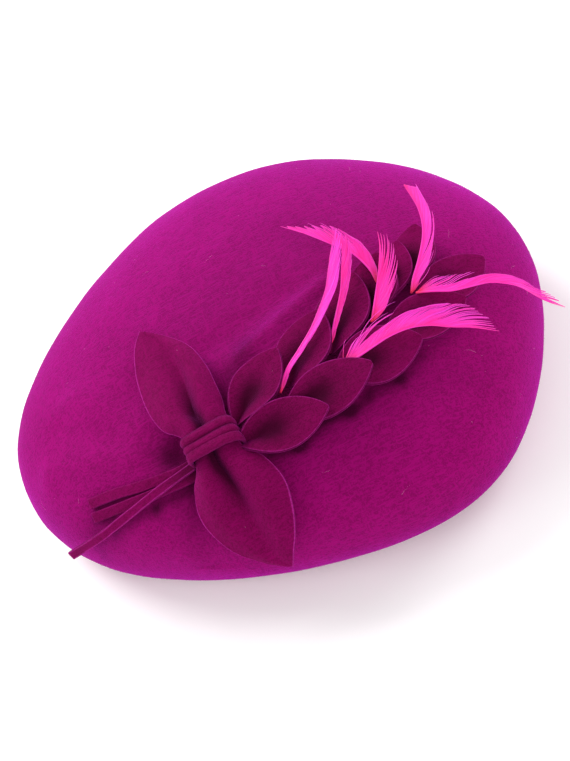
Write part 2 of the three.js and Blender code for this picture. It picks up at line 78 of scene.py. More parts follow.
def placesRound(angle, halfLength, halfWidth, height):
    places = halfLength * np.cos(angle), halfWidth * np.sin(angle), height
    return np.stack(np.broadcast_arrays(*places), -1)


def smoothCrown(angle, share):
    power = hat["shoulderPower"]
    radius = share * planReachAt(angle)
    height = np.maximum(0, 1 - share**power) ** (1 / power)
    return placesRound(angle, radius, radius, hat["widestHeight"] + hat["crownRise"] * height)


def crownNormal(angle, share):
    turn, step = 0.01, 0.004  # small steps round and outwards, to take the slope
    near = np.clip(share, 0.02, 0.995)
    across = smoothCrown(angle + turn, near) - smoothCrown(angle - turn, near)
    outward = smoothCrown(angle, near + step) - smoothCrown(angle, near - step)
    return unit(np.cross(outward, across))


def foldHeight(x, y, folds):
    total = np.zeros(np.shape(x))
    for fromX, fromY, toX, toY, width, height in folds:
        alongX, alongY = toX - fromX, toY - fromY
        share = ((x - fromX) * alongX + (y - fromY) * alongY) / (alongX**2 + alongY**2)
        share = np.clip(share, 0, 1)
        away = np.hypot(x - fromX - share * alongX, y - fromY - share * alongY)
        total = total + height * np.exp(-((away / width) ** 2))
    return total


def crownPoint(angle, share, lift=0.0):
    point = smoothCrown(angle, share)
    rise = lift + foldHeight(point[..., 0], point[..., 1], hat["folds"])
    return point + crownNormal(angle, share) * rise[..., None]


def shareAt(x, y):
    angle = np.arctan2(y, x)
    return angle, np.hypot(x, y) / planReachAt(angle)


def crownOver(x, y, lift=0.0):
    return crownPoint(*shareAt(x, y), lift)


def outwardAt(points):
    return crownNormal(*shareAt(points[..., 0], points[..., 1]))


# The frame's body box says where the crown's middle stands in the part.
solidAngles = np.arange(hat["solidTurns"]) * 2 * math.pi / hat["solidTurns"]
solidPlan = smoothCrown(solidAngles, 1.0)[:, :2]
bodyLow, bodyHigh = np.array(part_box("beret_body"))
planMiddle = (bodyLow + bodyHigh)[:2] / 2 - (solidPlan.min(0) + solidPlan.max(0)) / 2 * mm
crownMiddle = np.append(planMiddle, bodyLow[2])


def softNoise(points, size, seed):
    # smooth bumps between about -1 and 1, from a few crossing waves
    random = np.random.default_rng(seed)
    waves = 9
    total = np.zeros(points.shape[:-1])
    for _ in range(waves):
        direction = unit(random.normal(size=3)) * 2 * math.pi / (size * random.uniform(0.7, 1.6))
        total = total + np.sin(points @ direction + random.uniform(0, 2 * math.pi))
    return total / (waves / 2)


def smoothStep(value, low, high):
    t = np.clip((value - low) / (high - low), 0, 1)
    return t * t * (3 - 2 * t)


def stepsTo(count, end=1.0):
    return np.linspace(0, end, count + 1)[1:]


def crowdedToSides(count):
    # from -1 to 1, closer together near both ends
    return np.sin(np.linspace(-1, 1, count) * math.pi / 2)


def splineThrough(points, count):
    # Catmull-Rom curve through rows of numbers, evenly spaced; the first three columns are a place
    rows = np.array(points, float)
    padded = np.vstack([2 * rows[0] - rows[1], rows, 2 * rows[-1] - rows[-2]])
    samplesPerSpan = 24
    t = np.linspace(0, 1, samplesPerSpan, endpoint=False)[:, None]
    samples = []
    for i in range(len(rows) - 1):
        a, b, c, d = padded[i:i + 4]
        samples.append(0.5 * (2 * b + (c - a) * t + (2 * a - 5 * b + 4 * c - d) * t**2
                              + (3 * b - a - 3 * c + d) * t**3))
    samples = np.vstack([*samples, rows[-1:]])
    steps = np.linalg.norm(np.diff(samples[:, :3], axis=0), axis=1)
    place = np.concatenate([[0], np.cumsum(steps)])
    wanted = np.linspace(0, place[-1], count)
    return np.stack([np.interp(wanted, place, column) for column in samples.T], -1)


def addObject(name, data):
    added = bpy.data.objects.new(name, data)
    bpy.context.scene.collection.objects.link(added)
    return added


def makePiece(name, points, faces, material, masks=None, node=None):
    # a smooth mesh from places in millimetres, with values on its points that its material reads
    mesh = bpy.data.meshes.new(name)
    places = np.asarray(points, float).reshape(-1, 3) * mm + crownMiddle
    mesh.from_pydata(places.tolist(), [], [tuple(int(i) for i in face) for face in faces])
    for maskName, values in (masks or {}).items():
        attribute = mesh.attributes.new(maskName, "FLOAT", "POINT")
        attribute.data.foreach_set("value", np.asarray(values, np.float32).ravel())
    mesh.polygons.foreach_set("use_smooth", [True] * len(mesh.polygons))
    mesh.materials.append(material)
    mesh.update()
    piece = addObject(name, mesh)
    if node:
        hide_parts(node)
    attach(piece, "root")


def loopFaces(rows, around, closedEnds=True, start=0):
    # quads between neighbouring closed loops, and a cap on the first and the last
    row, column = np.meshgrid(np.arange(rows - 1), np.arange(around), indexing="ij")
    after = (column + 1) % around
    quads = np.stack([row * around + column, (row + 1) * around + column,
                      (row + 1) * around + after, row * around + after], -1)
    faces = [tuple(quad) for quad in (quads.reshape(-1, 4) + start).tolist()]
    if closedEnds:
        last = start + (rows - 1) * around
        faces.append(tuple(range(start, start + around)))
        faces.append(tuple(range(last + around - 1, last - 1, -1)))
    return faces


def feltLoops(grid, thickness, bevel):
    # closed loops round a felt sheet: its upper side, a cut edge, its under side, the other cut edge
    down = np.gradient(grid, axis=0)
    over = np.gradient(grid, axis=1)
    normal = unit(np.cross(down, over))
    upper = grid + normal * thickness / 2
    under = grid - normal * thickness / 2
    walls = []
    for column, sign in ((-1, 1), (0, -1)):
        edge = grid[:, column] + unit(over[:, column]) * sign * bevel
        half = normal[:, column] * (thickness / 2 - bevel)
        walls.append(np.stack([edge + half * side for side in (sign, -sign)], 1))
    return np.concatenate([upper, walls[0], under[:, ::-1], walls[1]], axis=1)


# How the felt of the trim is cut, with a painted highlight on its cut edges and painted shade in its
# creases and down its walls. The walls' two values are at the upper and at the lower rim.
trimCut = {
    "felt": 1.6, "bevel": 0.32,
    "edgeFade": 0.4,  # how far the painted highlight on the cut edge runs into the face
    "wallEdge": (0.35, 0), "wallShade": (0.3, 0.8),
}


def loopMask(face, walls):
    # a face's values for both sides of the felt, and the walls' for its cut edges
    right = np.tile(walls, (len(face), 1))
    return np.concatenate([face, right, face[:, ::-1], right[:, ::-1]], axis=1)


def edgeMask(grid, fade):
    # 1 on the cut edges, falling to 0 that many millimetres into the face
    steps = np.linalg.norm(np.diff(grid, axis=1), axis=2)
    place = np.concatenate([np.zeros((len(grid), 1)), np.cumsum(steps, axis=1)], axis=1)
    away = np.minimum(place, place[:, -1:] - place)
    return np.clip(1 - away / fade, 0, 1)


def makeFeltPiece(node, grid, changes, material, paintedShading, roundEnds=False):
    # a felt sheet on a grid of points, that stands for a node of the frame
    cut = {**trimCut, **changes}
    loops = feltLoops(grid, cut["felt"], cut["bevel"])
    # painted highlight on the cut edges, and painted shade from the given mask, darker down the walls
    edge = loopMask(edgeMask(grid, cut["edgeFade"]), cut["wallEdge"]) * cut["edgeLight"]
    if roundEnds:
        edge[[0, -1]] = cut["edgeLight"]
    masks = {"edge": edge, "crease": loopMask(paintedShading, cut["wallShade"])}
    makePiece("felt_" + node.replace("_felt", ""), loops, loopFaces(*loops.shape[:2]), material,
              masks, node)
    return loops


def newGroup(name, inputs, outputs, colours=()):
    group = bpy.data.node_groups.new(name, "ShaderNodeTree")
    for inOut, keys in (("INPUT", inputs), ("OUTPUT", outputs)):
        for key in keys:
            kind = "NodeSocketColor" if key in colours else "NodeSocketFloat"
            group.interface.new_socket(name=key, in_out=inOut, socket_type=kind)
    return group, group.nodes.new("NodeGroupInput").outputs, group.nodes.new("NodeGroupOutput")


def setSockets(tree, node, sockets):
    # gives each socket its value, or links it to what feeds it
    for key, value in sockets.items():
        if hasattr(value, "is_output"):
            tree.links.new(value, node.inputs[key])
        else:
            node.inputs[key].default_value = value


def addNode(tree, kind, sockets=None, **settings):
    node = tree.nodes.new(kind)
    for key, value in settings.items():
        setattr(node, key, value)
    setSockets(tree, node, sockets or {})
    return node


def mathNode(tree, operation, first, second):
    return addNode(tree, "ShaderNodeMath", {0: first, 1: second}, operation=operation).outputs[0]


def mixColours(tree, amount, first, second):
    return addNode(tree, "ShaderNodeMix", {0: amount, 6: first, 7: second}, data_type="RGBA").outputs[2]


def rampBetween(tree, value, low, high):
    sockets = {"Value": value, "From Min": low, "From Max": high}
    return addNode(tree, "ShaderNodeMapRange", sockets, interpolation_type="SMOOTHSTEP").outputs[0]


def weighted(tree, *parts):
    # the sum of values, each times its own share
    total = None
    for value, share in parts:
        part = mathNode(tree, "MULTIPLY", value, share)
        total = part if total is None else mathNode(tree, "ADD", total, part)
    return total


def noiseOn(tree, place, scale, detail, roughness=0.5, distortion=0.0):
    sockets = {"Vector": place, "Scale": scale, "Detail": detail, "Roughness": roughness,
               "Distortion": distortion}
    return addNode(tree, "ShaderNodeTexNoise", sockets).outputs[0]


def objectPlace(tree):
    return addNode(tree, "ShaderNodeTexCoord").outputs["Object"]


def pieceMask(tree, name):
    return addNode(tree, "ShaderNodeAttribute", attribute_name=name).outputs["Fac"]


# Matted wool: clumps, crossing fibres, mottling and slow clouds where the nap was brushed.
matting = {
    "noises": {"Clump": (5.0, 0.66), "Mottle": (3.0, 0.55), "Cloud": (3.0, 0.5)},  # detail, roughness
    "fibre": (2.0, 0.5, 0.25),  # detail, roughness, distortion
    "fibreLevels": (0.5, 0.68),
    # turn and stretch of the fibres in each direction
    "strands": [
        ((0.3, 0.2, 0.5), (1, 0.12, 1)), ((0.9, 1.1, 2.0), (0.14, 1, 1)),
        ((2.2, 0.4, 1.2), (1, 1, 0.13)), ((1.3, 2.6, 0.2), (0.12, 0.9, 0.5)),
    ],
    "clumpShare": 0.6,  # of the height; the fibres make the rest
    # the lowest and highest level of each, and its share in the tone
    "tone": {"Cloud": (0.25, 0.75, 0.2), "Mottle": (0.3, 0.7, 0.14), "Height": (0.22, 0.66, 0.66)},
}


def makeFeltGrain():
    scales = ("Clump Scale", "Fibre Scale", "Mottle Scale", "Cloud Scale")
    group, given, out = newGroup("feltGrain", scales, ("Tone", "Height"))
    place = objectPlace(group)
    levels = {name: noiseOn(group, place, given[name + " Scale"], *settings)
              for name, settings in matting["noises"].items()}
    fibres = None
    for turn, stretch in matting["strands"]:
        turned = addNode(group, "ShaderNodeMapping", {"Vector": place, "Rotation": turn, "Scale": stretch})
        strand = noiseOn(group, turned.outputs[0], given["Fibre Scale"], *matting["fibre"])
        thin = rampBetween(group, strand, *matting["fibreLevels"])
        fibres = thin if fibres is None else mathNode(group, "MAXIMUM", fibres, thin)
    share = matting["clumpShare"]
    levels["Height"] = weighted(group, (levels["Clump"], share), (fibres, 1 - share))
    tone = weighted(group, *((rampBetween(group, levels[name], low, high), share)
                             for name, (low, high, share) in matting["tone"].items()))
    setSockets(group, out, {"Tone": tone, "Height": levels["Height"]})
    return group


# Colour of dyed felt: between a deep and a lit shade, with a paler painted highlight on a cut edge and
# painted shade, darkest in a crease.
def makeFeltColour():
    colours = ("Deep", "Lit", "Shade", "Edge Highlight", "Colour")
    inputs = (*colours[:4], "Tone", "Edge Mask", "Shade Mask")
    group, given, out = newGroup("feltColour", inputs, colours[4:], colours)
    deepest, leastPale = 0.9, 0.4  # the deepest crease's share of the shade, a dark edge's of the pale
    colour = mixColours(group, given["Tone"], given["Deep"], given["Lit"])
    # painted shade: the mask darkens the colour towards the shade colour
    shaded = mathNode(group, "MULTIPLY", given["Shade Mask"], deepest)
    colour = mixColours(group, shaded, colour, given["Shade"])
    # painted highlight: a paler colour on the cut edges, weaker where the grain is dark
    pale = mathNode(group, "ADD", leastPale, mathNode(group, "MULTIPLY", given["Tone"], 1 - leastPale))
    pale = mathNode(group, "MULTIPLY", given["Edge Mask"], pale)
    setSockets(group, out, {"Colour": mixColours(group, pale, colour, given["Edge Highlight"])})
    return group


feltGrain = makeFeltGrain()
feltColour = makeFeltColour()


def newMaterial(name):
    material = bpy.data.materials.new(name)
    material.use_nodes = True
    tree = material.node_tree
    return material, tree, tree.nodes["Principled BSDF"]


def addBump(tree, shader, strength, depth, height):
    bump = addNode(tree, "ShaderNodeBump", {"Strength": strength, "Distance": depth, "Height": height})
    setSockets(tree, shader, {"Normal": bump.outputs["Normal"]})


# What the felts share, and below what each has of its own: deep, lit and the cut edge's painted highlight
# colour, sheen and tint.
# Scales are per metre, the bump's depth in metres.
anyFelt = {
    "grain": {"Clump Scale": 700.0, "Fibre Scale": 1700.0, "Mottle Scale": 300.0, "Cloud Scale": 70.0},
    "shader": {"Roughness": 0.95, "Specular IOR Level": 0.06, "Sheen Roughness": 0.4},
    # the colour of painted shade in creases, hollows and under the trim
    "shade": (0.035, 0.0, 0.012, 1),
    "bump": 0.45, "bumpDepth": 0.0006,
}
feltFinishes = {
    "bodyFelt": {
        "colours": [(0.176, 0.0006, 0.071, 1), (0.31, 0.0015, 0.137, 1), (0.42, 0.015, 0.26, 1)],
        "grain": {"Clump Scale": 600.0, "Fibre Scale": 1300.0, "Mottle Scale": 230.0, "Cloud Scale": 36.0},
        "sheen": (0.46, (0.95, 0.04, 1.0, 1)), "bump": 0.5,
    },
    "trimFelt": {
        "colours": [(0.098, 0.0002, 0.032, 1), (0.19, 0.0005, 0.07, 1), (0.42, 0.02, 0.27, 1)],
        "sheen": (0.2, (1.0, 0.03, 0.8, 1)),
    },
    "bowFelt": {
        "colours": [(0.12, 0.0003, 0.04, 1), (0.22, 0.0008, 0.084, 1), (0.46, 0.022, 0.3, 1)],
        "sheen": (0.18, (1.0, 0.06, 0.85, 1)),
    },
    "stripFelt": {
        "colours": [(0.11, 0.0006, 0.036, 1), (0.2, 0.0012, 0.074, 1), (0.38, 0.02, 0.22, 1)],
        "grain": {**anyFelt["grain"], "Cloud Scale": 90.0},
        "sheen": (0.26, (1.0, 0.07, 0.85, 1)),
    },
}


def makeFelt(name):
    finish = {**anyFelt, **feltFinishes[name]}
    material, tree, shader = newMaterial(name)
    grain = addNode(tree, "ShaderNodeGroup", finish["grain"], node_tree=feltGrain).outputs
    sockets = dict(zip(("Deep", "Lit", "Edge Highlight"), finish["colours"]), Shade=finish["shade"],
                   Tone=grain["Tone"])
    # the painted highlight on cut edges and the painted shade that each piece carries on its points
    masks = {"Edge Mask": pieceMask(tree, "edge"), "Shade Mask": pieceMask(tree, "crease")}
    colour = addNode(tree, "ShaderNodeGroup", {**sockets, **masks}, node_tree=feltColour).outputs[0]
    weight, tint = finish["sheen"]
    own = {"Base Color": colour, "Sheen Weight": weight, "Sheen Tint": tint}
    setSockets(tree, shader, {**finish["shader"], **own})
    addBump(tree, shader, finish["bump"], finish["bumpDepth"], grain["Height"])
    return material


featherFinish = {
    "hot": (0.9, 0.012, 0.31, 1), "violet": (0.84, 0.05, 0.68, 1), "root": (0.66, 0.006, 0.075, 1),
    "fleckScale": 900.0, "patchScale": 90.0, "patchLevels": (0.35, 0.65),
    "hueShares": (0.8, 0.12, 0.08),  # of the barb's own tone, the patches and the flecks
    "roughness": (0.42, 0.2),  # the least, and how much the flecks add
    "bump": 0.35, "bumpDepth": 0.0002,
    # a faint painted glow: the feather's own colour also shines as emission
    "shader": {"Emission Strength": 0.07, "Specular IOR Level": 0.25, "Sheen Weight": 0.15,
               "Sheen Roughness": 0.4, "Sheen Tint": (1.0, 0.35, 0.85, 1)},
}


def makeFeather():
    material, tree, shader = newMaterial("feather")
    place = objectPlace(tree)
    flecks = noiseOn(tree, place, featherFinish["fleckScale"], 3.0)
    patches = noiseOn(tree, place, featherFinish["patchScale"], 2.0)
    patches = rampBetween(tree, patches, *featherFinish["patchLevels"])
    hue = weighted(tree, *zip((pieceMask(tree, "tone"), patches, flecks), featherFinish["hueShares"]))
    colour = mixColours(tree, hue, featherFinish["hot"], featherFinish["violet"])
    colour = mixColours(tree, pieceMask(tree, "root"), colour, featherFinish["root"])
    least, added = featherFinish["roughness"]
    roughness = mathNode(tree, "ADD", least, mathNode(tree, "MULTIPLY", flecks, added))
    # the same colour shines faintly as emission: painted glow
    fed = {"Base Color": colour, "Emission Color": colour, "Roughness": roughness}
    setSockets(tree, shader, {**featherFinish["shader"], **fed})
    addBump(tree, shader, featherFinish["bump"], featherFinish["bumpDepth"], flecks)
    return material


# Pale stray wool caught on the dark felt.
lintFinish = {
    "thin": (0.5, 0.08, 0.3, 1), "thick": (0.8, 0.42, 0.64, 1), "tuftScale": 160.0,
    "shader": {"Roughness": 0.8, "Specular IOR Level": 0.2, "Sheen Weight": 0.3},
}


def makeLint():
    material, tree, shader = newMaterial("paleLint")
    tufts = noiseOn(tree, objectPlace(tree), lintFinish["tuftScale"], 2.0)
    colour = mixColours(tree, tufts, lintFinish["thin"], lintFinish["thick"])
    setSockets(tree, shader, {**lintFinish["shader"], "Base Color": colour})
    return material


bodyFelt, trimFelt, bowFelt, stripFelt = (makeFelt(name) for name in feltFinishes)
featherDye = makeFeather()
paleLint = makeLint()
print("materials made")

body = {
    "felt": 2.5,
    "rollInset": 24,  # how far the edge rolls in under the hat
    "landWidth": 7,  # flat ring that the hat rests on
    "lipRise": 7,
    "opening": (94, 80),  # half length and half width of the head opening
    "turns": 400,
    "crownRings": 118, "rollRings": 22, "landRings": 4, "lipRings": 11,
    # how much of the felt's thickness is turned, and how far out, on the rounded cut at the opening
    "turnedEdge": [(0.15, 0.5), (0.5, 0.8), (0.85, 0.5)],
    # strength of the painted highlight on the rounded cut at the opening
    "edgeLight": 0.8,
    "softness": 0.35,  # height of the slight unevenness of soft felt
    "waves": [(55, 11, 1), (24, 12, 0.5)],  # its size, seed and share
    "unevenFrom": 20,  # height from which it is full; it fades to none at the floor
    "dents": [  # x, y, width, depth of broad soft dips
        (-30, 55, 46, 0.7), (60, 40, 40, 0.6), (-95, 20, 34, 0.8), (70, -78, 30, 0.9), (0, -100, 26, 0.6),
    ],
    "tucks": [  # as the crown's folds, but under the trim, so that only the body sinks
        (-63, -62, -57, -69, 8, -4), (-79, -26, -74, -18, 13, -1.3), (-68, -92, -62, -86, 8, -1),
    ],
    "creaseAndShade": [  # as the folds, but only darker: painted shade in hollows, beside the bow and under the leaves and stems, and a broad darker patch on the crown's middle
        (-10, 0, 45, 6, 42, 0.2), (-31, -50, -13, -29, 6, 0.4), (-13, -29, 21, -18, 6, 0.1),
        (-68, -58, -58, -66, 8, 0.75), (-69, -84, -73, -90, 8, 0.35),
        (-25, -86.5, -11, -90, 3.5, 0.9), (-11, -90, 8, -84.7, 3.5, 0.9), (8, -84.7, 17, -88, 3.5, 0.8),
        (17, -88, 27, -86, 3.5, 0.7), (31, -83, 44, -84, 4, 0.6), (44, -84, 57.6, -76.5, 4, 0.5),
        (-63, -79, -84, -75.3, 2.6, 0.55), (-84, -75.3, -107, -66, 2.6, 0.5),
        (-107, -66, -119, -60, 2.6, 0.35),
        (-110.5, -55, -84, -67, 1.8, 0.75), (-114, -57, -104, -63, 1.8, 0.6),
    ],
}


def bodyRings():
    # rings from the crown's top over the edge and under it, to the head opening
    angle = np.arange(body["turns"]) * 2 * math.pi / body["turns"]
    power = hat["shoulderPower"]
    arc = stepsTo(body["crownRings"])[:, None]
    crown = crownPoint(angle[None, :], np.sin(arc * math.pi / 2) ** (2 / power))
    reach = planReachAt(angle)

    def ringAt(inset, height):
        return placesRound(angle, reach - inset, reach - inset, height)

    widest, inset = hat["widestHeight"], body["rollInset"]
    rings = list(crown)
    for roll in stepsTo(body["rollRings"], math.pi / 2):
        rings.append(ringAt(inset * (1 - math.cos(roll)), widest * (1 - math.sin(roll))))
    for share in stepsTo(body["landRings"]):
        rings.append(ringAt(inset + body["landWidth"] * share, 0.0))
    landEdge = rings[-1]
    openingEdge = placesRound(angle, *body["opening"], 0.0)
    for share in stepsTo(body["lipRings"]):
        ring = landEdge + (openingEdge - landEdge) * share
        ring[:, 2] = body["lipRise"] * math.sin(share * math.pi / 2)
        rings.append(ring)
    return np.array(rings)


def softenBody(rings, normal):
    # unevenness of soft felt, which mostly sinks in, so that the hat keeps to its box
    x, y, height = (rings[..., i] for i in range(3))
    free = np.clip(height / body["unevenFrom"], 0, 1)
    waves = sum(share * softNoise(rings, size, seed) for size, seed, share in body["waves"])
    uneven = body["softness"] * (waves - 1)
    for dentX, dentY, width, depth in body["dents"]:
        uneven = uneven - depth * np.exp(-((np.hypot(x - dentX, y - dentY) / width) ** 2))
    onTop = height > hat["widestHeight"]
    uneven = uneven + foldHeight(x, y, body["tucks"]) * onTop
    return rings + normal * (free * uneven)[..., None]


def closedNormals(rings):
    down = np.gradient(rings, axis=0)
    over = np.roll(rings, -1, axis=1) - np.roll(rings, 1, axis=1)
    return unit(np.cross(down, over))


def makeBody():
    rings = bodyRings()
    outer = softenBody(rings, closedNormals(rings))
    normal = closedNormals(outer)
    inner = (outer - normal * body["felt"])[::-2]
    down = unit(outer[-1] - outer[-2])
    turnedEdge = [outer[-1] - normal[-1] * body["felt"] * share + down * bulge
                  for share, bulge in body["turnedEdge"]]
    loops = np.concatenate([outer, turnedEdge, inner])
    rows, turns = loops.shape[:2]
    faces = loopFaces(rows, turns, closedEnds=False)
    top, underTop = rows * turns, rows * turns + 1
    last = (rows - 1) * turns
    faces += [(top, i, (i + 1) % turns) for i in range(turns)]
    faces += [(underTop, last + (i + 1) % turns, last + i) for i in range(turns)]
    points = np.vstack([loops.reshape(-1, 3), loops[0].mean(0), loops[-1].mean(0)])
    edge, crease = np.zeros((2, rows, turns))
    # painted highlight on the rounded cut at the opening
    edge[len(outer) - 1:len(outer) + len(turnedEdge) + 1] = body["edgeLight"]
    crown = outer[:body["crownRings"]]
    # painted shade along the listed lines
    crease[:len(crown)] = np.clip(foldHeight(crown[..., 0], crown[..., 1], body["creaseAndShade"]), 0, 1)
    masks = {"edge": np.append(edge, [0, 0]), "crease": np.append(crease, [crease[0, 0], 0])}
    makePiece("felt_body", points, faces, bodyFelt, masks, "beret_body")
    return outer


bodySurface = makeBody()
print("body made")

leafCut = {
    "edgeLight": 0.55, "fullness": 0.85, "baseWidth": 0.2,
    "sprayHeading": 20,  # degrees from +X in which the spray runs
    "shingleSlope": 0.23,  # how fast a leaf rises that way, over the leaf before it
    "lobe": 1.0,  # how much each half of a leaf arches
    "wave": 0.22, "waveSize": 15,  # unevenness of the felt
    "hollow": (0.12, 0.4),  # roundness of the hollow at the base, and how much rounder it gets
    "shadow": (3.8, 7),  # width of the dark crease at the base, and how much wider it gets
    "darkest": (0.35, 0.24, 1.25),  # where along the leaf the crease is darkest, its reach and strength
    "rows": 46, "columns": 31, "seed": 100,
    "rowEnd": (0.94, 0.992),  # how closely the rows crowd at the tip, and where the last one lies
    # leaves that get more light, given the paler bow felt: painted light
    "paintedPaler": ("leaf_back_5", "leaf_back_6", "leaf_front_3", "leaf_front_4", "leaf_front_5"),
}

# baseX, baseY, tipX, tipY, width, lift at the base, pinch in degrees, how fast the crease opens
leaves = {
    "leaf_back_6": (70.5, -38, 84.5, -7.4, 20, 1.2, 30, 2.5),
    "leaf_front_5": (69, -53.5, 102, -39, 22, 2.7, 28, 2.5),
    "leaf_back_5": (55, -44, 73, -15.8, 18.6, 1.9, 28, 2.5),
    "leaf_back_4": (41, -53, 62, -19.3, 24, 1.8, 34, 2.5),
    "leaf_back_3": (21.5, -59.5, 47.5, -26.5, 25, 1.6, 36, 2.5),
    "leaf_back_2": (-3, -65, 26, -39, 25, 1.2, 38, 2.5),
    "leaf_back_1": (-32.5, -68.5, 0.6, -48.2, 23.3, 1.2, 52, 2),
    "leaf_front_4": (47.5, -64.5, 85.6, -59.5, 22.5, 1.6, 34, 2.5),
    "leaf_front_3": (19, -71, 60, -74, 26, 1.2, 36, 2.5),
    "leaf_front_2": (-10.5, -78.6, 35.2, -78.4, 22.8, 3.1, 36, 2.5),
    "leaf_front_1": (-35, -77.6, 9.7, -86.9, 21.6, 3.4, 52, 2),
}


def makeLeaf(name, seed):
    baseX, baseY, tipX, tipY, width, lift, pinch, fade = leaves[name]
    crowding, end = leafCut["rowEnd"]
    arc = np.cos(np.linspace(0, 1, leafCut["rows"]) * math.pi * crowding)
    share = ((1 - arc) / (1 - arc[-1]) * end)[:, None]
    across = crowdedToSides(leafCut["columns"])[None, :]
    x, y = baseX + (tipX - baseX) * share, baseY + (tipY - baseY) * share
    base, tip = crownOver(np.array([baseX, tipX], float), np.array([baseY, tipY], float))
    heading = unit(tip - base)
    middle = crownOver(x, y)
    left = unit(np.cross(outwardAt(middle), heading))
    outline = (4 * share * (1 - share)) ** leafCut["fullness"] + leafCut["baseWidth"] * (1 - share) ** 2
    halfWidth = width / 2 * outline
    stand = math.radians(pinch) * (1 - share) ** fade
    spot = middle - left * (across * halfWidth * np.cos(stand))[..., None]
    spray = math.radians(leafCut["sprayHeading"])
    ahead = (spot[..., 0] - baseX) * math.cos(spray) + (spot[..., 1] - baseY) * math.sin(spray)
    rise = np.maximum(0, leafCut["shingleSlope"] * ahead)
    hollow = leafCut["hollow"][0] + leafCut["hollow"][1] * share
    vee = (np.sqrt(across**2 + hollow**2) - hollow) / (np.sqrt(1 + hollow**2) - hollow)
    standing = vee * halfWidth * np.sin(stand)
    arch = leafCut["lobe"] * np.sin(math.pi * np.abs(across)) ** 2 * (1 - share) ** 1.2
    wave = leafCut["wave"] * softNoise(spot, leafCut["waveSize"], seed)
    lifted = lift + rise + standing + arch * np.minimum(1, share * 5) + wave
    grid = crownOver(spot[..., 0], spot[..., 1], lifted)
    # painted shade in the leaf's hollow, darkest partway along it
    creaseWidth = leafCut["shadow"][0] + leafCut["shadow"][1] * share
    darkest, reach, strength = leafCut["darkest"]
    creaseAndShade = np.exp(-((across * halfWidth / creaseWidth) ** 2) - ((share - darkest) / reach) ** 2)
    # the better-lit leaves take the paler felt: painted light
    felt = bowFelt if name in leafCut["paintedPaler"] else trimFelt
    return makeFeltPiece(name, grid, leafCut, felt, np.minimum(1, strength * creaseAndShade))


leafLoops = [makeLeaf(name, leafCut["seed"] + i) for i, name in enumerate(leaves)]
print("leaves made:", len(leafLoops))

bow = {
    "edgeLight": 1,
    "rows": 130, "lobeColumns": 26,
    "wave": 0.2, "waveSize": 17, "seed": 31,  # unevenness of the felt
    # left x, y, z, right x, y, z, where the crease runs, height of the lobes
    "sections": [
        (-55, 5.4, 88.7, -53.3, 3.9, 88.9, 0.5, 0),
        (-60, -1, 87.2, -43.8, -7, 89, 0.55, 0.6),
        (-63.8, -10.5, 85.5, -36.3, -19.5, 88.7, 0.6, 1.5),
        (-66.6, -23.1, 83.2, -33.3, -33.5, 87.6, 0.62, 3),
        (-67.2, -39.8, 81.4, -33.2, -46, 85, 0.6, 4.6),
        (-64.5, -52.4, 79.6, -33.8, -55.5, 83, 0.54, 5.2),
        (-57.4, -62.8, 79.4, -35.2, -64, 82.1, 0.47, 3.8),
        (-57.4, -77.6, 73.9, -35, -79.8, 77.1, 0.42, 3.8),
        (-63, -84, 67.6, -28, -90, 73.5, 0.46, 5.2),
        (-66.5, -92, 60.6, -24, -102, 67.6, 0.49, 4.6),
        (-65.4, -100, 53.2, -25.8, -111.7, 60.6, 0.5, 3),
        (-59.8, -108.5, 44.5, -30.2, -118.7, 51, 0.5, 1.5),
        (-50, -116.3, 38, -35, -121.7, 42.3, 0.45, 0.6),
        (-40, -122.3, 34, -38.8, -122.8, 33.8, 0.5, 0),
    ],
    "waist": 6.5,  # the waist lies between these two sections
    "creaseDepth": 0.9,
    "creaseWidth": (3, 2.6),  # at the waist, and how much wider at the tips
    "narrowLobe": 1.8,  # how much higher the narrower lobe stands
    "peak": (0.75, 1.5),  # power of the lobes' arch at the waist, and how much more peaked they get
    "shade": (1.6, 1.35, 2.5),  # of the crease: strength, its fade's start, cut off at 1, and steepness
}


def makeBow():
    numbered = [(*section, number) for number, section in enumerate(bow["sections"])]
    rows = splineThrough(numbered, bow["rows"])
    left, right, fold = rows[:, :3], rows[:, 3:6], rows[:, 6:7]
    puff = np.maximum(rows[:, 7:8], 0)
    fromWaist = np.abs(rows[:, 8:9] - bow["waist"]) / bow["waist"]
    along = np.gradient((left + right) / 2, axis=0)
    up = unit(np.cross(along, right - left))
    steps = bow["lobeColumns"]
    arch = (1 - np.cos(np.arange(steps + 1) * math.pi / steps))[None, :] / 2
    lobes = np.concatenate([arch[:, :-1], arch], 1)
    across = np.concatenate([arch[:, :-1] * fold, fold + arch * (1 - fold)], 1)
    lobeShare = np.where(across < fold, fold, 1 - fold)
    taller = 1 + bow["narrowLobe"] * (0.5 - lobeShare) * np.minimum(1, fromWaist * 4)
    width = np.linalg.norm(right - left, axis=1)[:, None]
    creaseWidth = bow["creaseWidth"][0] + bow["creaseWidth"][1] * fromWaist
    creaseAndShade = np.exp(-(((across - fold) * width / creaseWidth) ** 2)) * np.clip(puff / 3, 0, 1)
    peak = bow["peak"][0] + bow["peak"][1] * fromWaist
    rise = puff * taller * np.sin(math.pi * lobes) ** peak - bow["creaseDepth"] * creaseAndShade
    grid = left[:, None] + (right - left)[:, None] * across[..., None]
    rise = rise + bow["wave"] * softNoise(grid, bow["waveSize"], bow["seed"])
    grid = grid + up[:, None] * rise[..., None]
    # painted shade in the crease between the lobes, strongest near the waist
    strength, most, fading = bow["shade"]
    shadow = np.minimum(1, strength * creaseAndShade * np.clip(most - fading * fromWaist, 0, 1))
    return makeFeltPiece("bow_felt", grid, bow, bowFelt, shadow)


bowLoops = makeBow()

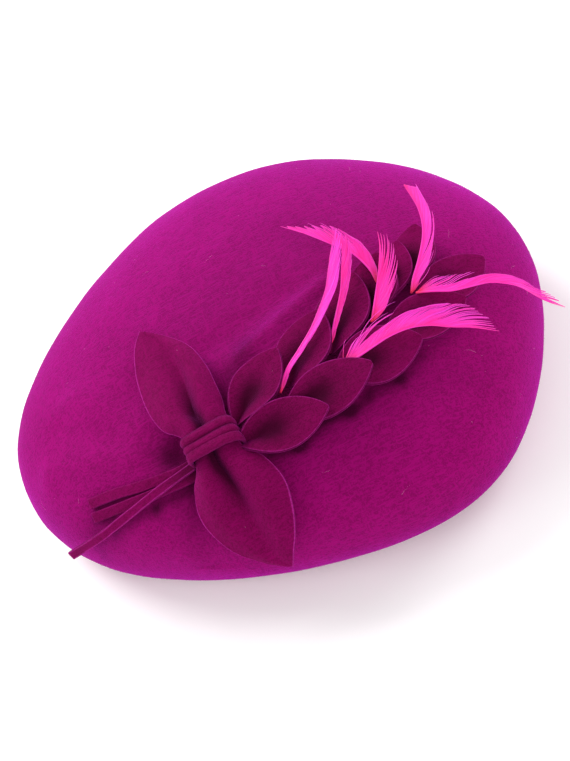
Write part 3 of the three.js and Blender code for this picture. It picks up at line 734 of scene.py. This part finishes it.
wrap = {
    "bevel": 0.4, "edgeLight": 0.15,
    "strip": 4.1, "columns": 13,
    "pitch": 4.6, "turns": 3, "stepsPerTurn": 84,
    "squareness": 0.55,  # 1 is a round winding, less is squarer
    "x": -44.9, "y": -70.6, "halfWidth": 12.3, "low": 2.6, "high": 11.7,
    "waistRow": 6,  # the bow's section above the waist
    "wander": 0.3,  # how far the strip strays from an even winding
    "wanderWave": (1.7, 0.6),  # waves to a turn, and where they start
    "pillow": 1.0,  # how far each turn bulges across
    # the last turn over the top: where it starts and is full, how far it rides up, moves over the turn
    # before it, and is wider, flatter and has less painted shade at its sides
    "lastTurn": {"from": 2.12, "full": 2.34, "raised": 1, "shifted": 0.2, "wider": 1.02, "flatter": 0.6,
                 "paintedPaler": 0.7},
}


def makeWrap():
    seat = crownOver(np.array(float(wrap["x"])), np.array(float(wrap["y"])))
    up = outwardAt(seat)
    sections = np.array(bow["sections"], float)
    middles = (sections[:, :3] + sections[:, 3:6]) / 2
    axis = middles[wrap["waistRow"] + 1] - middles[wrap["waistRow"]]
    axis = unit(axis - up * (axis @ up))
    side = unit(np.cross(axis, up))
    turn = np.linspace(0, wrap["turns"], wrap["turns"] * wrap["stepsPerTurn"] + 1)[::-1]
    angle = 2 * math.pi * turn - math.pi / 2
    power = wrap["squareness"]
    sideways, upwards = (np.sign(v) * np.abs(v) ** power for v in (np.cos(angle), np.sin(angle)))
    last = wrap["lastTurn"]
    over = smoothStep(turn, last["from"], last["full"])
    middle, halfHeight = (wrap["low"] + wrap["high"]) / 2, (wrap["high"] - wrap["low"]) / 2
    pace, start = wrap["wanderWave"]
    stray = wrap["wander"] * np.sin(pace * angle + start) - last["shifted"] * over
    loop = side * (wrap["halfWidth"] * sideways)[:, None] + up * (halfHeight * upwards)[:, None]
    onwards = wrap["pitch"] * (turn - wrap["turns"] / 2) + stray
    centre = seat + up * middle + loop + axis * onwards[:, None]
    outward = unit(np.cross(np.gradient(centre, axis=0), axis))
    outward = outward * np.sign((outward * loop).sum(1, keepdims=True))
    across = crowdedToSides(wrap["columns"])[None, :]
    half = wrap["strip"] / 2 * (1 + (last["wider"] - 1) * over)[:, None]
    bulge = wrap["pillow"] * (1 - across**2) * (1 - last["flatter"] * over[:, None])
    bulge = bulge + (last["raised"] * over)[:, None]
    grid = centre[:, None] + axis * (across * half)[..., None] + outward[:, None] * bulge[..., None]
    # painted shade at the strip's sides, where the turns meet, less on the last turn
    between = np.abs(across) ** 3 * (1 - last["paintedPaler"] * over[:, None])
    return makeFeltPiece("bow_wrap", grid, wrap, stripFelt, between)


wrapLoops = makeWrap()

stems = {
    "rows": 90, "columns": 9, "wave": 0.05, "waveSize": 12, "seed": 60,
    "shaded": (0.3, 0.7),  # how far from the wrap a stem lies in its shadow, and how dark that is
    # width, and how strong the painted highlight on the cut edges is
    "strips": {"stem_back": (4.7, 0.12), "stem_middle": (4.5, 0.12), "stem_front": (3.7, 0.6)},
    # x, y and the felt's height over the crown
    "routes": {
        "stem_back": [(-56.5, -71.5, 1.3), (-69.6, -69.4, 1.3), (-85.2, -64.3, 1.3), (-98.6, -58.2, 1.3),
                      (-111.8, -52.1, 1.3)],
        "stem_middle": [(-53, -77, 1.3), (-66, -75, 1.3), (-82, -70.6, 1.3), (-98, -64.5, 1.3),
                        (-113, -57, 1.3)],
        "stem_front": [(-58.2, -73, 3.5), (-76.9, -72.2, 4.9), (-93.5, -70.1, 5.7), (-110.1, -64.6, 6.5),
                       (-125.5, -53.2, 8.8)],
    },
}


def makeStem(name, seed):
    route = np.array(stems["routes"][name], float)
    middle = splineThrough(crownOver(route[:, 0], route[:, 1], route[:, 2]), stems["rows"])
    along = unit(np.gradient(middle, axis=0))
    side = unit(np.cross(along, outwardAt(middle)))
    strip, edgeLight = stems["strips"][name]
    across = -crowdedToSides(stems["columns"]) * strip / 2
    uneven = 1 + stems["wave"] * softNoise(middle, stems["waveSize"], seed)
    grid = middle[:, None] + side[:, None] * (across[None, :] * uneven[:, None])[..., None]
    reach, darkness = stems["shaded"]
    shadow = darkness * (1 - smoothStep(np.linspace(0, 1, stems["rows"]), 0, reach))
    shadow = np.tile(shadow[:, None], len(across))
    return makeFeltPiece(name, grid, {"edgeLight": edgeLight}, bowFelt, shadow, roundEnds=True)


stemLoops = [makeStem(name, stems["seed"] + i) for i, name in enumerate(stems["routes"])]
print("bow, wrap and stems made")

barbs = {
    "width": (0.72, 0.85, 1.1),  # and the least and the most share of it that a barb gets
    "taper": 0.5, "thickness": 0.24, "segments": 16,
    "unevenness": (0.1, 0.006),  # of the tips, across in millimetres and along as a share of the spine
    "curve": 1.7,  # how soon a barb bends away from the quill
    "pull": 0.92,  # how far the tips of a clump come together
    "closing": 0.6,  # over how much of a barb its clump closes up
    "streaks": 0.55,  # how much neighbouring barbs differ in hue
    "tipHue": 0.5,  # how much more violet a long barb's tip is
    "layers": (0.16, 0.12),  # how far apart neighbouring barbs lie in height, and how unevenly
    "strayWidth": 0.42, "strayLift": 0.5,
    "straySplit": 1.5,  # over 1, so that there is no slit
    "endSteps": 60,  # how finely the feather's cut end is found on a barb
    "redRoot": 8, "redFoot": 0.3,  # how far up the feather the dye is red, and how red each barb's foot is
    "quill": 0.62, "quillSteps": 70, "quillSides": 8,
    "seed": 200, "spineSteps": 160,
    "runOn": 39,  # how many steps the spine runs on straight past its tip
}

# spine: x, y, z of the quill from root to tip. side: 1 has the barbs to the left of it, -1 to the right.
# vanes: groups of barbs, each a table of where a barb starts and ends, in percent of the spine, and how
# far out its tip lies. styles: how many barbs of each group stick together, where along a barb the slits
# open, or over 1 for a clump that is one all along, and how many millimetres lie between neighbouring
# tips. strays: single thin barbs, as in vanes.
# cup: how hollow the vane is. hue: 0 is hot pink, 1 is violet pink. slant: how aslant the end is cut off.
# The first line is what most of them share.
anyFeather = {"side": -1, "cup": 0.6, "quillEnd": 0.88, "slant": 0}
feathers = {
    "feather_1": {
        "hue": 0.35, "quillEnd": 0.8, "styles": ((5, 0.6, 0.6),), "strays": [(50, 83, 6)],
        "spine": [
            (-7.8, -69.3, 84.3), (-0.9, -61.2, 87.3), (9.1, -55.3, 90.3), (18.5, -49, 92.6),
            (26.5, -42.2, 95.6), (32.9, -36.1, 98.3), (38.1, -28.3, 101), (43.8, -20.1, 103.8),
            (49.5, -10.9, 105.8)],
        "vanes": [[
            (0, 10, 1.9), (5, 20, 2.2), (12, 36, 2.3), (22, 50, 3.3), (32, 62, 4.4), (42, 72, 5.4),
            (50, 80, 5.2), (58, 88, 5), (66, 95, 4), (72, 99, 2.6), (80, 100, 0.5)]],
    },
    "feather_2": {
        "cup": 0.5, "hue": 0, "quillEnd": 0.85, "styles": ((6, 0.62, 0.6),), "strays": [(50, 86, 5)],
        "spine": [
            (22.9, -58.2, 86.2), (27.7, -51.3, 88.4), (33.2, -44.6, 91), (39.1, -36.7, 93.8),
            (43.9, -27.9, 96.6), (48.5, -19.2, 99.7), (51.3, -11, 103.3)],
        "vanes": [[
            (0, 12, 1.5), (6, 25, 2.1), (15, 42, 2.8), (25, 55, 3.6), (35, 65, 4.2), (45, 76, 4.6),
            (52, 84, 4.4), (60, 92, 3.8), (68, 98, 2.6), (80, 100, 0.5)]],
    },
    "feather_3": {
        "cup": 0.9, "hue": 0, "styles": ((8, 0.74, 0.6),), "strays": [(32, 70, 7.6), (40, 80, 5.4)],
        "spine": [
            (56.2, -36.5, 87.4), (56.2, -29.9, 89.2), (54.7, -23.8, 91.8), (52.1, -18.3, 95),
            (48.8, -15.6, 98), (45.1, -12.3, 100.5), (40.2, -6.1, 102.6), (35.2, 0.7, 103.8),
            (28.8, 9.1, 104.4)],
        "vanes": [[
            (0, 10, 2.2), (3, 20, 3.8), (6, 29, 5.6), (10, 38, 6.8), (15, 46, 7.8), (22, 56, 8.7),
            (32, 65, 7.4), (42, 75, 5.2), (52, 84.5, 3), (64, 93, 1.5), (80, 100, 0.3)]],
    },
    "feather_4": {
        "hue": -0.2, "quillEnd": 0.7, "styles": ((2, 0.3, 0.92),),
        "strays": [(2, 50, 9.2), (20, 82, 6.6), (30, 94, 4.2)],
        "spine": [
            (44.8, -56.9, 86), (50.2, -48.7, 88), (55.8, -39.7, 90), (61.5, -30.7, 92.8),
            (65.4, -22.6, 94.8), (67.6, -15.1, 96.2)],
        "vanes": [[
            (0, 10, 3.6), (1, 20, 6), (2, 30, 7), (3.5, 42, 7.8), (6, 54, 8.4), (10, 66, 8.8), (17, 76, 7),
            (25, 83, 5.6), (33, 89, 4.2), (42, 94, 2.6), (55, 100, 0.2)]],
    },
    "feather_5": {
        "hue": 0.1, "quillEnd": 0.97, "slant": 0.95, "styles": ((7, 0.6, 0.6), (8, 0.7, 0.6)),
        "strays": [(0, 24, 6.4), (4, 38, 6.2)],
        "spine": [
            (67.9, -48.9, 83), (71.8, -42.5, 84.3), (78.7, -34.6, 86.6), (85.2, -25.6, 89),
            (88.7, -18.2, 91.3), (90.4, -8.9, 93.7), (89.9, 4.5, 97)],
        "vanes": [[
            (0, 10, 2.8), (1, 22, 3.6), (3, 34, 5.4), (6, 43, 5.2), (11, 52, 5), (17, 62, 5.3),
            (22, 71, 5.9)], [
            (24, 72, 4.7), (35, 81, 4.8), (45, 90, 5), (55, 100, 5.5), (65, 108, 6), (75, 115, 6.3),
            (90, 125, 6.5), (99, 132, 6.6)]],
    },
    "feather_6": {
        "side": 1, "cup": 0.7, "hue": 0.12, "styles": ((1, 1.5, 1.4), (5, 0.45, 0.6)),
        "strays": [(0, 14, 8), (2, 22, 8.2)],
        "spine": [
            (69.7, -51.5, 84.5), (76.8, -56.4, 85.3), (84.5, -61.4, 85), (92.7, -63.6, 84.2),
            (100.9, -65.2, 82.8), (106.9, -67.9, 80.8), (113, -72.5, 78), (119.4, -79.9, 72),
            (127.8, -84.8, 64)],
        "vanes": [[
            (0, 11.5, 7), (2, 19, 7.8), (5, 27, 8), (10, 40, 6.6)], [
            (0, 20, 3.2), (10, 36, 4.2), (16, 45, 4.2), (24, 54, 4.4), (31, 61, 5), (39, 69, 5.6),
            (46, 76, 5.7), (54, 83, 5.2), (62, 90, 4.1), (70, 96, 2.2), (80, 100, 0.2)]],
    },
    "feather_7": {
        "side": 1, "cup": 0.9, "hue": 0.08, "quillEnd": 0.7, "styles": ((1, 1.5, 1.25), (2, 0.38, 0.64)),
        "strays": [(0, 10, 9.6), (2, 43, 13), (1, 38, 10)],
        "spine": [
            (23.3, -72.7, 84.3), (31.4, -73.7, 86.8), (39, -73.8, 88.3), (48.8, -73.5, 89.3),
            (58.5, -74.8, 89.4), (67.1, -77.8, 88), (74.1, -81.4, 85.5), (83.1, -83.6, 81),
            (94.1, -86.2, 73)],
        "vanes": [[
            (0, 13, 7.2), (1, 20, 7.8), (3, 40, 9)], [
            (0, 12, 3.2), (2, 19, 4.1), (5, 27, 5), (8, 33, 5.5), (14, 40, 6.3), (20, 46, 7.3),
            (26, 53, 8.2), (31, 58.5, 9.2), (37, 65.5, 10.6), (42, 72, 10.8), (48, 78.7, 10.3), (53, 84, 9),
            (58, 88.5, 7.5), (62, 92.5, 5.6), (65, 95.5, 3.5), (68, 98.5, 1.5), (70, 100, 0.3)]],
    },
}


def featherSpine(feather):
    # evenly spaced places along the quill, and how long it is
    spine = splineThrough(feather["spine"], barbs["spineSteps"])
    return spine, np.linalg.norm(np.diff(spine, axis=0), axis=1).sum()


def alongSpine(feather, place):
    # the spot on the spine, the barbs' side and the outward direction at each place
    spine, _ = featherSpine(feather)
    ending = unit(spine[-1] - spine[-3]) * np.linalg.norm(spine[-1] - spine[-2])
    spine = np.vstack([spine, spine[-1] + ending * np.arange(1, barbs["runOn"] + 1)[:, None]])
    along = unit(np.gradient(spine, axis=0))
    out = unit(np.cross(outwardAt(spine), along)) * feather["side"]
    up = unit(np.cross(along, out)) * feather["side"]
    share = np.arange(len(spine)) / (barbs["spineSteps"] - 1)
    spot, outward, upward = (np.stack([np.interp(place, share, column) for column in rows.T], -1)
                             for rows in (spine, out, up))
    return spot, unit(outward), unit(upward)


def ofSpine(rows):
    return np.array(rows, float) / (100, 100, 1)  # from percent


def barbTable(feather, length, random):
    # every barb as start, end, tip's place across, the same three numbers of its clump's middle, and
    # where its clump splits
    rows = []
    tipUneven, endUneven = barbs["unevenness"]
    for vane, (together, split, gap) in zip(feather["vanes"], feather["styles"]):
        table = ofSpine(vane)
        steps = np.hypot(np.diff(table[:, 1]) * length, np.diff(table[:, 2]))
        place = np.concatenate([[0], np.cumsum(steps)])
        wanted = np.linspace(0, place[-1], max(2, int(place[-1] / gap)))
        even = np.stack([np.interp(wanted, place, column) for column in table.T], -1)
        even[:, 2] += random.normal(size=len(even)) * tipUneven
        even[:, 1] += random.normal(size=len(even)) * endUneven
        first = 0
        while first < len(even):
            count = max(1, together + random.integers(-1, 2))
            clump = even[first:first + count]
            middle = clump.mean(0)
            shift = [random.uniform(-0.004, 0.012), random.normal() * 0.12]
            middle[1:] = clump[len(clump) // 2, 1:] + shift
            rows += [np.concatenate([row, middle, [split]]) for row in clump]
            first += count
    return rows


def barbPath(barb, step):
    # where along the spine and how far across a barb runs
    start, end, tip = barb
    place = start + (end - start) * step
    return place, tip * (1 - (1 - step) ** barbs["curve"])


def makeFeatherPiece(name, seed):
    feather = {**anyFeather, **feathers[name]}
    random = np.random.default_rng(seed)
    _, length = featherSpine(feather)
    points, faces, tone, rooted = [], [], [], []

    def addStrip(loops, shades, place, foot):
        # a closed strip of loops, with its hue and how red it is
        start = sum(len(block) for block in points)
        points.append(loops.reshape(-1, 3))
        faces.extend(loopFaces(*loops.shape[:2], start=start))
        tone.append(np.repeat(shades, loops.shape[1]))
        red = np.clip(1.1 - place * length / barbs["redRoot"], 0, 1) ** 1.3 + barbs["redFoot"] * foot
        rooted.append(np.repeat(np.clip(red, 0, 1), loops.shape[1]))

    def addBarb(barb, middle, split, width, shade, lift):
        fine = np.linspace(0, 1, barbs["endSteps"])
        place, cross = barbPath(barb, fine)
        limit = 1.01 - feather["slant"] * cross / length  # of the feather's cut end
        reached = fine[place <= limit + shade * 0.005].max()
        step = np.linspace(0, reached, barbs["segments"])
        place, cross = barbPath(barb, step)
        together = barbs["pull"] * smoothStep(step, split, min(1, split + barbs["closing"]))
        middlePlace, middleCross = barbPath(middle, step)
        place = place + (middlePlace - place) * together
        cross = cross + (middleCross - cross) * together
        height = feather["cup"] * (cross / 6) ** 2 + lift * step
        spot, outward, upward = alongSpine(feather, place)
        path = spot + outward * cross[:, None] + upward * height[:, None]
        way = unit(np.gradient(path, axis=0))
        flat = unit(np.cross(way, upward))
        raised = unit(np.cross(flat, way))
        half = width / 2 * (0.35 + 0.65 * np.minimum(1, step * 6)) * (1 - step) ** 0.4  # thin at both ends
        half = half * (1 - barbs["taper"] * step) + 0.05
        rise = barbs["thickness"] / 2 * (1 - step) ** 0.5 + 0.025
        flat, raised = flat * half[:, None], raised * rise[:, None]
        violet = barbs["tipHue"] * np.clip(cross / 5, 0, 1.2) * step**0.5
        shades = feather["hue"] + violet + barbs["streaks"] * (shade - 0.5)
        addStrip(np.stack([path - flat, path - raised, path + flat, path + raised], 1),
                 np.clip(shades, 0, 1), place, np.clip(1 - step * 5, 0, 1))

    shade = 0.5  # drifts from barb to barb
    width, narrow, wide = barbs["width"]
    layer, unevenly = barbs["layers"]
    for number, row in enumerate(barbTable(feather, length, random)):
        shade = 0.45 * shade + 0.55 * random.uniform(-0.3, 1.3)
        addBarb(row[:3], row[3:6], row[6], width * random.uniform(narrow, wide), shade,
                layer * (number % 3 - 1) + random.normal() * unevenly)
    for stray in ofSpine(feather["strays"]):
        addBarb(stray, stray, barbs["straySplit"], barbs["strayWidth"], random.uniform(0.5, 1),
                barbs["strayLift"])

    place = np.linspace(0, feather["quillEnd"], barbs["quillSteps"])
    path, outward, upward = alongSpine(feather, place)
    radius = barbs["quill"] * (1 - 0.85 * place / feather["quillEnd"])[:, None]
    around = -feather["side"] * np.arange(barbs["quillSides"]) * 2 * math.pi / barbs["quillSides"]
    tube = (path[:, None] + outward[:, None] * (np.cos(around) * radius)[..., None]
            + upward[:, None] * (np.sin(around) * radius * 0.8)[..., None])
    addStrip(tube, np.full(len(place), 0.25), place, 0 * place)
    makePiece(name.replace("feather", "plume"), np.vstack(points), faces, featherDye,
              {"tone": np.concatenate(tone), "root": np.concatenate(rooted)}, name)


for number, name in enumerate(feathers):
    makeFeatherPiece(name, barbs["seed"] + number)
print("feathers made:", len(feathers))

fuzz = {
    # count, shortest, longest, radius, how far the fibres stand up
    "body": (13000, 0.5, 1.5, 0.036, 0.5),
    "trim": (8000, 0.4, 1.1, 0.03, 0.5),
    "hairs": (24, 2.5, 7, 0.036, 0.3),
    "specks": (60, 0.25, 0.6, 0.11, 0.6),
    "seed": 7,
    # how far a fibre bends aside, starts under the felt, droops and thins
    "bend": 0.35, "sunk": 0.05, "droop": 0.62, "thinning": 0.8,
    "underEdge": 16,  # rings of the rolled edge that have fibres; there are none under the hat
}


def spotsOn(surfaces, count, random):
    # random places on grids of points, even by area, with the grids' normals
    corners, sizes = [], []
    for grid in surfaces:
        a, b, c, d = grid[:-1, :-1], grid[1:, :-1], grid[1:, 1:], grid[:-1, 1:]
        corners.append(np.stack([a, b, c, d], 2).reshape(-1, 4, 3))
        sizes.append(np.linalg.norm(np.cross(c - a, d - b), axis=-1).ravel() / 2)
    corners, sizes = np.vstack(corners), np.concatenate(sizes)
    chosen = corners[random.choice(len(sizes), count, p=sizes / sizes.sum())]
    u, v = random.random((2, count, 1))
    spots = (chosen[:, 0] * (1 - u) * (1 - v) + chosen[:, 1] * u * (1 - v)
             + chosen[:, 2] * u * v + chosen[:, 3] * (1 - u) * v)
    return spots, unit(np.cross(chosen[:, 2] - chosen[:, 0], chosen[:, 3] - chosen[:, 1]))


def makeFibres(name, kind, surfaces, material, random, segments=2):
    count, shortest, longest, radius, stand = fuzz[kind]
    spots, normals = spotsOn(surfaces, count, random)
    drawn = random.normal(size=(count, 3))
    way = unit(drawn - normals * (drawn * normals).sum(1, keepdims=True))
    side = np.cross(normals, way)
    size = random.uniform(shortest, longest, count)[:, None]
    height = size * stand * random.uniform(0.1, 1, count)[:, None]
    bend = random.normal(size=(count, 1)) * fuzz["bend"]
    rings = []
    for share in np.linspace(0, 1, segments + 1):
        middle = (spots - normals * fuzz["sunk"] + way * size * share + side * size * bend * share**2
                  + normals * height * math.sin(share * math.pi * fuzz["droop"]))
        thin = radius * (1 - fuzz["thinning"] * share)
        for angle in (0, -2 * math.pi / 3, 2 * math.pi / 3):
            rings.append(middle + side * (thin * math.cos(angle)) + normals * (thin * math.sin(angle)))
    points = np.stack(rings, 1)
    around = points.shape[1]
    template = np.array(loopFaces(segments + 1, 3, closedEnds=False))
    caps = np.array([(0, 1, 2), (around - 1, around - 2, around - 3)])
    starts = (np.arange(count) * around)[:, None, None]
    faces = [*(template + starts).reshape(-1, 4).tolist(), *(caps + starts).reshape(-1, 3).tolist()]
    makePiece(name, points, faces, material)


def makeFuzz():
    random = np.random.default_rng(fuzz["seed"])
    outside = bodySurface[:body["crownRings"] + fuzz["underEdge"]]
    felts = [*leafLoops, bowLoops, wrapLoops, *stemLoops]
    surfaces = [np.concatenate([loops, loops[:, :1]], axis=1) for loops in (outside, *felts)]
    wrapped, closed = surfaces[:1], surfaces[1:]
    makeFibres("body_fuzz", "body", wrapped, bodyFelt, random)
    makeFibres("trim_fuzz", "trim", closed, trimFelt, random)
    makeFibres("lint_hairs", "hairs", wrapped, paleLint, random, segments=7)
    makeFibres("lint_specks", "specks", surfaces, paleLint, random)


makeFuzz()
print("loose wool made")

studio = {
    "floor": (0.96, 0.96, 0.965, 1), "floorReach": 6.0, "floorGlow": 0.12,
    "cloudScale": 5.0, "cloudShade": 0.985,  # faint clouds on the floor's paper
    "lampsAim": (0, 0, 0.04),
    "sky": (1.0, 0.99, 0.985, 1), "skyStrength": 0.5,
    # place in metres, size in metres, power in watts, colour
    "lamps": {
        "key": ((-0.6, 1.05, 1.0), 1.2, 27.0, (1.0, 0.985, 0.99)),
        "left": ((-1.2, -0.1, 0.6), 0.8, 4.2, (1.0, 0.98, 1.0)),
        "right": ((1.2, 0.4, 0.55), 0.8, 8.5, (0.98, 0.98, 1.0)),
        "front": ((0.5, -1.2, 0.6), 0.9, 8.4, (1.0, 0.99, 0.99)),
    },
}


def makeFloor():
    material, tree, shader = newMaterial("paperFloor")
    cloud = noiseOn(tree, objectPlace(tree), studio["cloudScale"], 4.0)
    pale = studio["floor"]
    colour = mixColours(tree, cloud, (*(c * studio["cloudShade"] for c in pale[:3]), 1), pale)
    setSockets(tree, shader, {"Base Color": colour, "Roughness": 0.9, "Emission Color": pale,
                              "Emission Strength": studio["floorGlow"]})
    mesh = bpy.data.meshes.new("floor")
    reach = studio["floorReach"]
    corners = [(-reach, -reach, 0), (reach, -reach, 0), (reach, reach, 0), (-reach, reach, 0)]
    mesh.from_pydata(corners, [], [(0, 1, 2, 3)])
    mesh.materials.append(material)
    addObject("floor", mesh)


def makeLights():
    target = Vector(studio["lampsAim"])
    for name, (place, size, power, colour) in studio["lamps"].items():
        light = bpy.data.lights.new(name, "AREA")
        light.shape, light.size, light.energy, light.color = "DISK", size, power, colour
        lamp = addObject(name, light)
        lamp.location = place
        lamp.rotation_euler = (target - Vector(place)).to_track_quat("-Z", "Y").to_euler()
    world = bpy.data.worlds.new("studio")
    world.use_nodes = True
    setSockets(world.node_tree, world.node_tree.nodes["Background"],
               {"Color": studio["sky"], "Strength": studio["skyStrength"]})
    bpy.context.scene.world = world


shot = {
    "elevation": 46, "roll": 27, "distance": 1.1,
    "aimAcross": 5.4, "aimUp": -17.9, "aimHeight": 45,  # mm from the crown's middle
    "lens": 105.1,
}


def makeCamera():
    rise, roll = math.radians(shot["elevation"]), math.radians(shot["roll"])
    right, back = Vector((1, 0, 0)), Vector((0, -math.cos(rise), math.sin(rise)))
    up = Vector((0, math.sin(rise), math.cos(rise)))
    across = right * math.cos(roll) - up * math.sin(roll)
    upward = right * math.sin(roll) + up * math.cos(roll)
    offset = Vector((0, 0, shot["aimHeight"])) + across * shot["aimAcross"] + upward * shot["aimUp"]
    aim = Vector(crownMiddle) + offset * mm
    data = bpy.data.cameras.new("camera")
    data.lens = shot["lens"]
    camera = addObject("camera", data)
    camera.matrix_world = Matrix.Translation(aim + back * shot["distance"]) @ Matrix(
        (across, upward, back)).transposed().to_4x4()
    bpy.context.scene.camera = camera


makeFloor()
makeLights()
makeCamera()
bpy.context.scene.view_settings.view_transform = "Standard"
print("floor, light and camera made")
